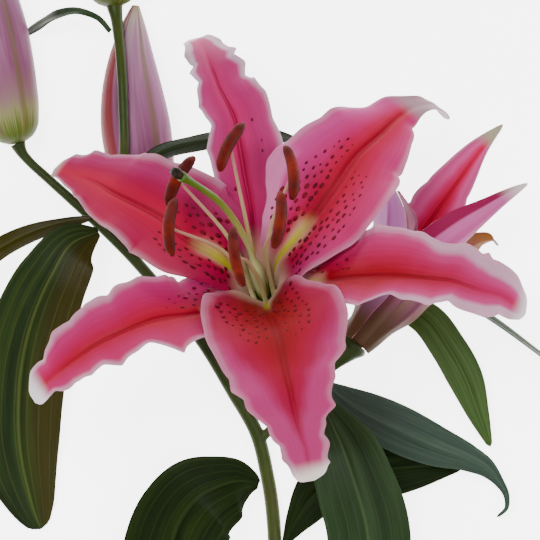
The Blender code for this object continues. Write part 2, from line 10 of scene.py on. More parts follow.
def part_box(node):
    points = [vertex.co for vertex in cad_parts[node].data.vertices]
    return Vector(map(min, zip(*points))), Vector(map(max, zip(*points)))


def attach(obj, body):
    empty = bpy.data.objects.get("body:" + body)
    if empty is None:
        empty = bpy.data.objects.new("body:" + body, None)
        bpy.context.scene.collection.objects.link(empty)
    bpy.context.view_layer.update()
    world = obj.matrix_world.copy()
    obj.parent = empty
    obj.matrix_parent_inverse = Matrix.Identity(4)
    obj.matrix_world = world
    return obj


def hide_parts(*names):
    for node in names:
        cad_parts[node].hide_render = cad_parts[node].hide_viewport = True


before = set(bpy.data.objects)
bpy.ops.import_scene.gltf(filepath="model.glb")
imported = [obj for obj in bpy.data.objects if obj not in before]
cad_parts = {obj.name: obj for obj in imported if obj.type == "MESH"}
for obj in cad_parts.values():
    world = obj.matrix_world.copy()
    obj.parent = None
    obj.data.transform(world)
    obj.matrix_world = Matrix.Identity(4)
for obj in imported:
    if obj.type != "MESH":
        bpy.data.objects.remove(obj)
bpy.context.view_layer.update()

# Cut stem of a pink oriental lily, laid on a pale surface with its open bloom turned up.
# Shapes are given in millimetres on a plan drawn from the stem's first fork.

mm = 0.001
forkUp = 184 * mm       # the first fork above the cut end
stemLow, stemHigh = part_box("stem")
planZero = Vector((0.001, stemLow.y + forkUp, stemLow.z))
plan = Matrix.Translation(planZero) @ Matrix.Scale(mm, 4)


def blossomPlace(base, lean, heading):      # Z along the bloom's axis, Y up its slope, X aside
    turn = Matrix.Rotation(math.radians(heading), 4, "Z") @ Matrix.Rotation(math.radians(-lean), 4, "X")
    return plan @ Matrix.Translation(base) @ turn


openBloom = blossomPlace((1.0, 48.5, 38.0), lean=36.0, heading=17.0)
halfBloom = blossomPlace((31.0, 32.0, 20.0), lean=94.0, heading=-37.6)


def newObject(name, data):
    thing = bpy.data.objects.new(name, data)
    bpy.context.scene.collection.objects.link(thing)
    return thing


# camera straight above the bloom, three soft lights and a pale floor

cameraHeight = 1.55
lightsAimAt = Vector((0, 0.03, 0.03))
softLights = {
    "keyLight": dict(at=(-0.40, 0.40, 1.60), size=0.55, watts=26.0),
    "fillLight": dict(at=(0.75, -0.25, 1.45), size=0.9, watts=15.0),
    "lowLight": dict(at=(-0.25, -1.15, 0.95), size=1.0, watts=8.0),
}
skyStrength = 0.4
floorGlow = 4.5         # the light table's own glow
floorHalf = 6.0

camera = newObject("camera", bpy.data.cameras.new("camera"))
camera.location = (planZero.x + 2.8 * mm, planZero.y + 57.8 * mm, cameraHeight)
camera.data.lens = 294.1
camera.data.sensor_width = 36.0
camera.data.clip_start = 0.05
camera.data.clip_end = 20
bpy.context.scene.camera = camera

for lightName, spec in softLights.items():
    lamp = bpy.data.lights.new(lightName, "AREA")
    lamp.size = spec["size"]
    lamp.energy = spec["watts"]
    light = newObject(lightName, lamp)
    light.location = spec["at"]
    light.rotation_euler = (lightsAimAt - Vector(spec["at"])).to_track_quat("-Z", "Y").to_euler()

world = bpy.data.worlds.new("studio")
world.use_nodes = True
world.node_tree.nodes["Background"].inputs["Color"].default_value = (1, 1, 1, 1)
world.node_tree.nodes["Background"].inputs["Strength"].default_value = skyStrength
bpy.context.scene.world = world


def linear(code):       # an sRGB hex value as linear colour
    parts = [int(code[i:i + 2], 16) / 255 for i in (1, 3, 5)]
    return (*[c / 12.92 if c <= 0.04045 else ((c + 0.055) / 1.055) ** 2.4 for c in parts], 1.0)


smooth = dict(interpolation_type="SMOOTHSTEP")


# one node with its settings, links and values. A map range takes 0 a value, 1 and 2 the span that
# comes in, 3 and 4 what goes out; a colour mix takes 0 a share, 6 and 7 the two colours; a math
# node adds unless told otherwise
def add(tree, kind, inputs, stops=None, **settings):
    node = tree.nodes.new("ShaderNode" + kind)
    for key, value in settings.items():
        setattr(node, key, value)
    for key, value in inputs.items():
        if isinstance(value, bpy.types.NodeSocket):
            tree.links.new(value, node.inputs[key])
        else:
            node.inputs[key].default_value = linear(value) if isinstance(value, str) else value
    if stops:
        ramp = node.color_ramp
        while len(ramp.elements) < len(stops):
            ramp.elements.new(0.5)
        for element, (place, colour) in zip(ramp.elements, stops):
            element.position = place
            element.color = linear(colour)
    return node.outputs


def newMaterial(name, roughness, ior=1.45, specular=0.5, subsurface=0.0, sheen=0.0):
    material = bpy.data.materials.new(name)
    material.use_nodes = True
    tree = material.node_tree
    shader = tree.nodes["Principled BSDF"]
    values = {
        "Roughness": roughness, "IOR": ior, "Specular IOR Level": specular, "Metallic": 0.0,
        "Subsurface Weight": subsurface, "Subsurface Radius": (1.0, 0.35, 0.3),
        "Subsurface Scale": 0.0012, "Sheen Weight": sheen}
    for socket, value in values.items():
        shader.inputs[socket].default_value = value
    return material, tree, shader


def paint(tree, shader, colour, layers, tone, dark, light, bump, depth=0.0004):
    # a layer is (colour, greatest share, *spans): it covers what lies below it where all its spans
    # are open, and a span is (value, closed at, open at)
    for cover, share, *spans in layers:
        for value, closed, opened in spans:
            share = add(tree, "MapRange", {0: value, 1: closed, 2: opened, 3: 0.0, 4: share}, **smooth)[0]
        colour = add(tree, "Mix", {0: share, 6: colour, 7: cover}, data_type="RGBA")[2]
    # a fine tone lightens and darkens the colour and lifts the surface
    shade = add(tree, "MapRange", {0: tone, 1: 0.25, 2: 0.75, 3: dark, 4: light})[0]
    grey = add(tree, "CombineXYZ", {0: shade, 1: shade, 2: shade})[0]
    tinted = add(tree, "Mix", {0: 1.0, 6: colour, 7: grey}, data_type="RGBA", blend_type="MULTIPLY")[2]
    tree.links.new(tinted, shader.inputs["Base Color"])
    lift = add(tree, "Bump", {"Height": tone, "Strength": bump, "Distance": depth})[0]
    tree.links.new(lift, shader.inputs["Normal"])


def bladeTerms(tree):
    # from the piece's own map: x across, y along, and the distance from the rib, 1 at the margin
    blade = add(tree, "UVMap", {}, uv_map="blade")[0]
    x, y, _ = add(tree, "SeparateXYZ", {0: blade})
    doubled = add(tree, "Math", {0: x, 1: 2.0, 2: -1.0}, operation="MULTIPLY_ADD")[0]
    return x, y, add(tree, "Math", {0: doubled}, operation="ABSOLUTE")[0]


def fibres(tree, across, along, seed):
    # fine lengthwise veins: noise squeezed across the piece and stretched along it
    blade = add(tree, "UVMap", {}, uv_map="blade")[0]
    scale = (across, along, 1)
    stretch = add(tree, "Mapping", {0: blade, "Scale": scale, "Location": (seed, seed, seed)})[0]
    return add(tree, "TexNoise", {"Vector": stretch, "Scale": 1.0, "Detail": 3.0, "Roughness": 0.6})[0]


def tepalFlesh(name, look, seed):
    # living tepal, waxy and faintly translucent: crimson band on the rib, mauve pink flanks,
    # white margins, and a yellow-green nectar furrow at the foot
    material, tree, shader = newMaterial(name, 0.5, specular=0.08, subsurface=0.1)
    x, y, across = bladeTerms(tree)
    veins = fibres(tree, 60, 3.0, seed)
    reach = add(tree, "UVMap", {}, uv_map="reach")[0]       # the blade's map in units of 100 mm
    cloud = add(tree, "TexNoise", {"Vector": reach, "Scale": 8.0, "Detail": 2.0})[0]
    jitter = add(tree, "MapRange", {0: veins, 3: -0.03, 4: 0.03})[0]
    drift = add(tree, "MapRange", {0: cloud, 3: -0.13, 4: 0.13})[0]

    # the colour runs from rib to margin, leans to one side, and is paler towards the tip
    paleFrom, paleShare = look["pale"]
    paler = add(tree, "MapRange", {0: y, 1: paleFrom, 2: 1.0, 3: -look["deeper"], 4: paleShare}, **smooth)[0]
    lean = look["lean"]
    tilt = add(tree, "Math", {0: x, 1: 2 * lean, 2: 1 - lean}, operation="MULTIPLY_ADD")[0]
    place = add(tree, "Math", {0: across, 1: tilt, 2: jitter}, operation="MULTIPLY_ADD")[0]
    for term in (drift, paler):
        place = add(tree, "Math", {0: place, 1: term})[0]
    band = look["band"]
    colour = add(tree, "ValToRGB", {0: place}, stops=[
        (0.0, look["deep"]), (0.45 * band, look["deep"]), (band, look["bandEdge"]),
        (band + 0.24, look["flank"]), (0.95, look["outer"])])[0]

    # the white margin widens towards the tip and wanders a little
    whiteFrom, whiteShare = look["white"]
    widen = add(tree, "MapRange", {0: y, 1: whiteFrom, 2: 1.0, 3: 0.0, 4: whiteShare}, **smooth)[0]
    outward = add(tree, "Math", {0: drift, 1: 0.6, 2: across}, operation="MULTIPLY_ADD")[0]
    for term in (jitter, widen):
        outward = add(tree, "Math", {0: outward, 1: term})[0]
    along = add(tree, "Math", {0: y, 1: drift})[0]
    marginFrom, tipAt, furrowWide = look["marginFrom"], look["tipAt"], look["furrowWide"]
    layers = [
        (look["margin"], look["rim"], (y, marginFrom, marginFrom + 0.15), (outward, 0.80, 1.04)),
        (look["ribDark"], 0.6, (across, 0.012, 0.035), (across, 0.10, 0.05), (y, 0.9, 0.7)),
        (look["tip"], 1.0, (y, tipAt - 0.05, tipAt + 0.01)),
        (look["foot"], 0.9, (y, *look["footSpan"])),
        (look["foot"], look["halo"], (along, *look["furrowSpan"]), (across, 0.30, 0.10)),
        (look["furrow"], 1.0, (y, *look["furrowSpan"]), (across, furrowWide, 0.4 * furrowWide)),
    ]
    if "fold" in look:      # the margin rolled back shows its pale outer face
        layers.append((look["fold"], 1.0, (y, 0.52, 0.44), (x, 0.17, 0.12)))
    paint(tree, shader, colour, layers, veins, dark=0.90, light=1.06, bump=0.22)
    return material


def tepalBack(name, look, seed):
    # the outer face of a tepal: duller and paler, with a deeper rib, a greenish foot and a pale tip
    material, tree, shader = newMaterial(name, 0.52, specular=0.1, subsurface=0.1)
    x, y, across = bladeTerms(tree)
    veins = fibres(tree, 55, 3, seed)
    jitter = add(tree, "MapRange", {0: veins, 3: -0.12, 4: 0.12})[0]
    place = add(tree, "Math", {0: across, 1: jitter})[0]
    colour = add(tree, "ValToRGB", {0: place}, stops=[
        (0.0, look["rib"]), (0.10, look["rib"]), (0.24, look["flank"]), (0.75, look["outer"]),
        (1.0, look["margin"])])[0]
    layers = [(look["tip"], 1.0, (y, *look["tipSpan"])), (look["foot"], 1.0, (y, *look["footSpan"]))]
    if "innerStripInShade" in look:     # the further margin, rolled over, shows its inner face: that face's magenta, darkened with painted shade
        layers.insert(0, (look["innerStripInShade"], 1.0, (y, 0.3, 0.42), (x, 0.74, 0.80)))
    paint(tree, shader, colour, layers, veins, dark=0.84, light=1.07, bump=0.3)
    return material


def leafSkin(name, look, seed):
    # waxy leaf: parallel veins run from foot to tip, a paler line on the rib
    material, tree, shader = newMaterial(name, look["rough"], ior=1.42, specular=look["gloss"])
    x, y, across = bladeTerms(tree)
    fine = fibres(tree, 70, 2.5, seed)
    broad = fibres(tree, 7, 1.6, seed + 3)
    warp = add(tree, "Math", {0: broad, 1: 0.05, 2: x}, operation="MULTIPLY_ADD")[0]
    row = add(tree, "Math", {0: warp, 1: 0.5 / look["veins"]}, operation="PINGPONG")[0]
    furrow, crest = 0.01 / look["veins"], 0.11 / look["veins"]
    sunk = add(tree, "MapRange", {0: row, 1: crest, 2: furrow, 3: 0.0, 4: -0.5}, **smooth)[0]
    height = add(tree, "Math", {0: sunk, 1: fine})[0]
    colour = add(tree, "ValToRGB", {0: broad}, stops=[
        (0.30, look["dark"]), (0.50, look["mid"]), (0.70, look["light"])])[0]
    layers = [(*look["side"], (x, *look["sideSpan"])), (*look["vein"], (row, crest, furrow)),
              (*look["rib"], (across, 0.06, 0.02))]
    paint(tree, shader, colour, layers, height, dark=0.85, light=1.12, bump=0.4)
    return material


def stemSkin(name):
    # fresh stem: smooth green skin, olive and a little purple in patches, fine lengthwise fibres
    material, tree, shader = newMaterial(name, 0.42, ior=1.42, specular=0.15)
    spot = add(tree, "TexCoord", {})["Object"]
    patch = add(tree, "TexNoise", {"Vector": spot, "Scale": 38.0, "Detail": 3.0})[0]
    colour = add(tree, "ValToRGB", {0: patch}, stops=[
        (0.28, "#1a2504"), (0.46, "#27330f"), (0.60, "#333b14"), (0.76, "#342a14")])[0]
    grain = add(tree, "Mapping", {0: spot, "Scale": (1800, 160, 1800)})[0]
    fine = add(tree, "TexNoise", {"Vector": grain, "Scale": 1.0, "Detail": 2.0})[0]
    paint(tree, shader, colour, [], fine, dark=0.85, light=1.1, bump=0.25, depth=0.0002)
    return material


def budSkin(name, look, seed):
    # closed bud: three outer tepals meet in seams, each with a raised rib; green foot, mauve
    # flanks with fine streaks, cream beak
    material, tree, shader = newMaterial(name, 0.5, specular=0.12, subsurface=0.1)
    x, y, _ = bladeTerms(tree)
    streaks = fibres(tree, 100, 3, seed)
    broad = fibres(tree, 22, 2, seed + 5)
    jitter = add(tree, "MapRange", {0: streaks, 3: -0.09, 4: 0.09})[0]
    along = add(tree, "Math", {0: y, 1: jitter})[0]
    colour = add(tree, "ValToRGB", {0: along}, stops=look["along"])[0]
    third = add(tree, "Math", {0: x, 1: 1 / 6}, operation="PINGPONG")[0]    # 0 at a seam, 1/6 on a rib
    sideStripFrom, sideStripTo = look["sideStripFrom"], look["sideStripTo"]
    # a dark red strip down one side, on the middle bud only
    layers = [(look["streak"], 0.6, (y, 0.2, 0.35), (broad, 0.42, 0.6)),
              (look["sideStrip"], look["sideStripShare"], (x, sideStripFrom, sideStripFrom + 0.02),
               (x, sideStripTo + 0.05, sideStripTo)),
              (look["rib"], look["ribShare"], (third, 0.140, 0.162)),
              (look["seam"], look["seamShare"], (third, 0.017, 0.003))]
    paint(tree, shader, colour, layers, streaks, dark=0.84, light=1.1, bump=0.3)
    return material


def styleFlesh(name, look, seed):
    # filament, style or ovary: smooth wet-looking flesh, greener or darker at one end
    material, tree, shader = newMaterial(name, 0.4, specular=0.25, subsurface=0.1)
    _, along, _ = bladeTerms(tree)
    streaks = fibres(tree, 14, 5, seed)
    jitter = add(tree, "MapRange", {0: streaks, 3: -0.1, 4: 0.1})[0]
    place = add(tree, "Math", {0: along, 1: jitter})[0]
    colour = add(tree, "ValToRGB", {0: place}, stops=look)[0]
    paint(tree, shader, colour, [], streaks, dark=0.82, light=1.08, bump=0.2, depth=0.0002)
    return material


def pollenCoat(name):
    # anther dusted with rust pollen: matte, grainy at 0.4 mm, darker in the seam between its lobes
    material, tree, shader = newMaterial(name, 0.7, ior=1.4, specular=0.12, sheen=0.02)
    turn, _, _ = bladeTerms(tree)
    spot = add(tree, "TexCoord", {})["Object"]
    dust = add(tree, "TexNoise", {"Vector": spot, "Scale": 2600.0, "Detail": 3.0})[0]
    broad = add(tree, "TexNoise", {"Vector": spot, "Scale": 160.0, "Detail": 2.0})[0]
    colour = add(tree, "ValToRGB", {0: broad}, stops=[
        (0.3, "#3c0401"), (0.5, "#520a01"), (0.7, "#6e1702")])[0]
    ring = add(tree, "Math", {0: turn, 1: 0.25}, operation="PINGPONG")[0]
    seam = [("#2a0305", 0.6, (ring, 0.05, 0.01))]
    paint(tree, shader, colour, seam, dust, dark=0.75, light=1.2, bump=0.6, depth=0.0003)
    return material


def spottedFlesh(name, roughness, scale, dark, light):
    # papillae, raised points of the tepal's own flesh, and the sticky three-lobed stigma
    material, tree, shader = newMaterial(name, roughness, specular=0.12)
    spot = add(tree, "TexCoord", {})["Object"]
    tone = add(tree, "TexNoise", {"Vector": spot, "Scale": scale, "Detail": 2.0})[0]
    colour = add(tree, "ValToRGB", {0: tone}, stops=[(0.35, dark), (0.65, light)])[0]
    paint(tree, shader, colour, [], tone, dark=0.9, light=1.1, bump=0.2, depth=0.0002)
    return material


def paleFloor(name):
    # plain matt paper on a light table
    material, tree, shader = newMaterial(name, 0.9)
    spot = add(tree, "TexCoord", {})["Object"]
    tone = add(tree, "TexNoise", {"Vector": spot, "Scale": 6.0, "Detail": 2.0})[0]
    colour = add(tree, "ValToRGB", {0: tone}, stops=[(0.3, "#fbfbfb"), (0.7, "#ffffff")])[0]
    tree.links.new(colour, shader.inputs["Base Color"])
    shader.inputs["Emission Color"].default_value = (1, 1, 1, 1)
    shader.inputs["Emission Strength"].default_value = floorGlow
    return material


floorMesh = bmesh.new()
bmesh.ops.create_grid(floorMesh, x_segments=2, y_segments=2, size=floorHalf)
floorData = bpy.data.meshes.new("floor")
floorMesh.to_mesh(floorData)
floorMesh.free()
floor = newObject("floor", floorData)
floorData.materials.append(paleFloor("paper"))
print("camera, light and floor are set")


def unit(vectors):
    return vectors / np.linalg.norm(vectors, axis=-1, keepdims=True)


def smoothRows(rows, stations):     # rows of the smooth curve through the given ones, evenly spaced
    rows = np.array(rows, dtype=float)
    knots = np.append(0.0, np.cumsum(np.linalg.norm(np.diff(rows[:, :3], axis=0), axis=1)))
    slopes = np.gradient(rows, knots, axis=0)
    dense = np.linspace(0.0, knots[-1], 30 * len(rows))
    span = np.clip(np.searchsorted(knots, dense, side="right") - 1, 0, len(knots) - 2)
    reach = (knots[span + 1] - knots[span])[:, None]
    part = (dense - knots[span])[:, None] / reach
    rest = 1 - part
    curve = (rows[span] * (1 + 2 * part) * rest ** 2 + slopes[span] * reach * part * rest ** 2
             + rows[span + 1] * part ** 2 * (1 + 2 * rest) - slopes[span + 1] * reach * part ** 2 * rest)
    length = np.append(0.0, np.cumsum(np.linalg.norm(np.diff(curve[:, :3], axis=0), axis=1)))
    even = np.linspace(0.0, length[-1], stations)
    return np.stack([np.interp(even, length, column) for column in curve.T], axis=1)


def fromAxis(azimuth, out, up, aside=0.0):
    a = math.radians(azimuth)
    return (out * math.sin(a) + aside * math.cos(a), out * math.cos(a) - aside * math.sin(a), up)


def turned(spec):       # a tepal's rows in its bloom's own axes
    return [(*fromAxis(spec["azimuth"], *row[:3]), *row[3:]) for row in spec["rows"]]


def finishPiece(name, bm, place, finishes, node):
    bmesh.ops.transform(bm, matrix=place, verts=bm.verts[:])
    bm.normal_update()
    mesh = bpy.data.meshes.new(name)
    bm.to_mesh(mesh)
    bm.free()
    mesh.shade_smooth()
    for finish in finishes:
        mesh.materials.append(finish)
    piece = newObject(name, mesh)
    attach(piece, "root")
    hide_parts(node)
    return piece


class Blade:
    # the surface of a leaf or tepal: u runs from margin to margin (-1 to 1), t from foot to tip
    count = 301         # places kept along the rib
    blunt = 0.02        # share of the length that is rounded at the tip
    leastHalf = 0.12
    grooveHalf = 1.3

    def __init__(self, rows, ruffle, waves, phase, groove, side=None, face=None, margins=((), ()),
                 frill=0.0):
        rows = [row if len(row) == 6 else (*row[:4], *row[3:]) for row in rows]
        self.line = smoothRows(rows, self.count)
        places = self.line[:, :3]
        self.ways = unit(np.gradient(places, axis=0))
        if side is not None:
            side = np.array(side)
            self.sides = unit(side - self.ways * (self.ways @ side)[:, None])
        else:
            self.sides = unit(np.cross(self.ways, np.array(face)))
        self.ups = np.cross(self.sides, self.ways)
        self.length = np.linalg.norm(np.diff(places, axis=0), axis=1).sum()
        self.ruffle, self.waves, self.phase, self.groove = ruffle, waves, phase, groove
        self.margins, self.frill = margins, frill

    def read(self, column, t):
        return np.interp(t, np.linspace(0, 1, self.count), column)

    def halves(self, u, t):
        wide = np.where(u < 0, self.read(self.line[:, 3], t), self.read(self.line[:, 4], t))
        rounded = ((t - 1 + self.blunt) / self.blunt).clip(0, 1)
        wide = wide * np.sqrt(np.clip(1 - rounded ** 2, 0.02, 1))
        for low, lobes in zip((True, False), self.margins):
            for where, out, reach in lobes:
                lobe = out * np.exp(-(np.abs(t - where) / reach) ** 1.5)
                wide = wide + np.where((u < 0) == low, lobe, 0.0)
        return np.maximum(wide, self.leastHalf)

    def at(self, u, t):
        half = self.halves(u, t)
        turns = 2 * np.pi * self.waves * t
        swing = np.sin(turns + self.phase + np.where(u < 0, 1.3, 0.0))
        quick = np.sin(2.7 * turns + 2.1 * self.phase + np.where(u < 0, 0.9, 0.0))
        belly = np.sin(np.pi * t).clip(0, 1)        # nothing waves at the foot or the tip
        lift = self.read(self.line[:, 5], t) * half * np.abs(u) ** 1.5
        lift += self.ruffle * swing * np.abs(u) ** 3 * belly ** 0.5
        lift += self.frill * quick * np.abs(u) ** 5 * belly ** 0.5
        lift -= self.groove * np.exp(-(np.abs(u) * half / self.grooveHalf) ** 2) * belly
        place = np.stack([self.read(self.line[:, i], t) + self.read(self.sides[:, i], t) * u * half
                          + self.read(self.ups[:, i], t) * lift for i in range(3)], axis=-1)
        return place, half

    def normal(self, u, t, alongStep=0.004, acrossStep=0.02):
        low, high = np.maximum(t - alongStep, 0), np.minimum(t + alongStep, 1)
        alongWay = self.at(u, high)[0] - self.at(u, low)[0]
        acrossWay = self.at(u + acrossStep, t)[0] - self.at(u - acrossStep, t)[0]
        return unit(np.cross(acrossWay, alongWay))


bladeThick = 0.7        # at the rib
edgeShare = 0.4         # of that at the margin


def makeBlade(node, form, place, finishes, across, along):
    bm = bmesh.new()
    blade = bm.loops.layers.uv.new("blade")
    reach = bm.loops.layers.uv.new("reach")
    bmesh.ops.create_grid(bm, x_segments=across, y_segments=along, size=1.0)
    u = np.array([vert.co.x for vert in bm.verts])
    u = np.sign(u) * np.abs(u) ** 1.05
    t = np.array([(vert.co.y + 1) / 2 for vert in bm.verts])
    spots, half = form.at(u, t)
    for vert, spot in zip(bm.verts, spots):
        vert.co = spot
    bm.verts.index_update()
    for face in bm.faces:
        for loop in face.loops:
            k = loop.vert.index
            loop[blade].uv = (0.5 + 0.5 * u[k], t[k])
            loop[reach].uv = (0.5 + 0.01 * u[k] * half[k], 0.01 * t[k] * form.length)
    piece = finishPiece(node + "_fine", bm, place, finishes, node)
    thin = piece.vertex_groups.new(name="thin")
    for k in range(len(u)):
        thin.add([k], float(1 - (1 - edgeShare) * abs(u[k]) ** 4), "REPLACE")
    skin = piece.modifiers.new("skin", "SOLIDIFY")
    skin.thickness = bladeThick * mm
    skin.offset = 0.0
    skin.vertex_group = "thin"
    skin.material_offset = 1
    skin.material_offset_rim = 0


def roundMesh(rows, sides, rings, relief=None):     # rows: x, y, z, radius; relief scales the radius
    line = smoothRows(rows, rings)
    places = line[:, :3]
    ways = unit(np.gradient(places, axis=0))
    start = (0.0, 0.0, 1.0) if abs(ways[0][2]) < 0.9 else (1.0, 0.0, 0.0)
    across = [unit(np.cross(ways[0], start))]
    for way in ways[1:]:
        across.append(unit(across[-1] - way * (across[-1] @ way)))
    bm = bmesh.new()
    blade = bm.loops.layers.uv.new("blade")
    bmesh.ops.create_uvsphere(bm, u_segments=sides, v_segments=rings + 1, radius=1.0)
    turns, shares = {}, {}
    for vert in bm.verts:
        ring = round(math.acos(max(-1.0, min(1.0, vert.co.z))) / math.pi * (rings + 1))
        k = min(max(ring - 1, 0), rings - 1)
        angle = math.atan2(vert.co.y, vert.co.x)
        turns[vert], shares[vert] = (angle / (2 * math.pi)) % 1, k / (rings - 1)
        radius = 0.0 if ring in (0, rings + 1) else line[k, 3]
        if relief:
            radius *= relief(shares[vert], angle)
        up = np.cross(across[k], ways[k])
        vert.co = places[k] + radius * (math.cos(angle) * across[k] + math.sin(angle) * up)
    for face in bm.faces:
        around = [turns[loop.vert] for loop in face.loops]
        for loop, turn in zip(face.loops, around):
            loop[blade].uv = (turn + 1 if max(around) - turn > 0.5 else turn, shares[loop.vert])
    bm.normal_update()
    bmesh.ops.recalc_face_normals(bm, faces=bm.faces[:])
    return bm


def makeRound(node, rows, place, finishes, sides, rings, relief=None):
    bm = roundMesh(rows, sides, rings, relief)
    finishPiece(node + "_fine", bm, place, finishes, node)


# the open bloom's tepals. Rows: out from the axis, up along it, aside, half-width on the lower and on
# the higher azimuth's side (one where they are alike), cup. Margins: lobes and notches of those two
# sides, as place, depth, reach

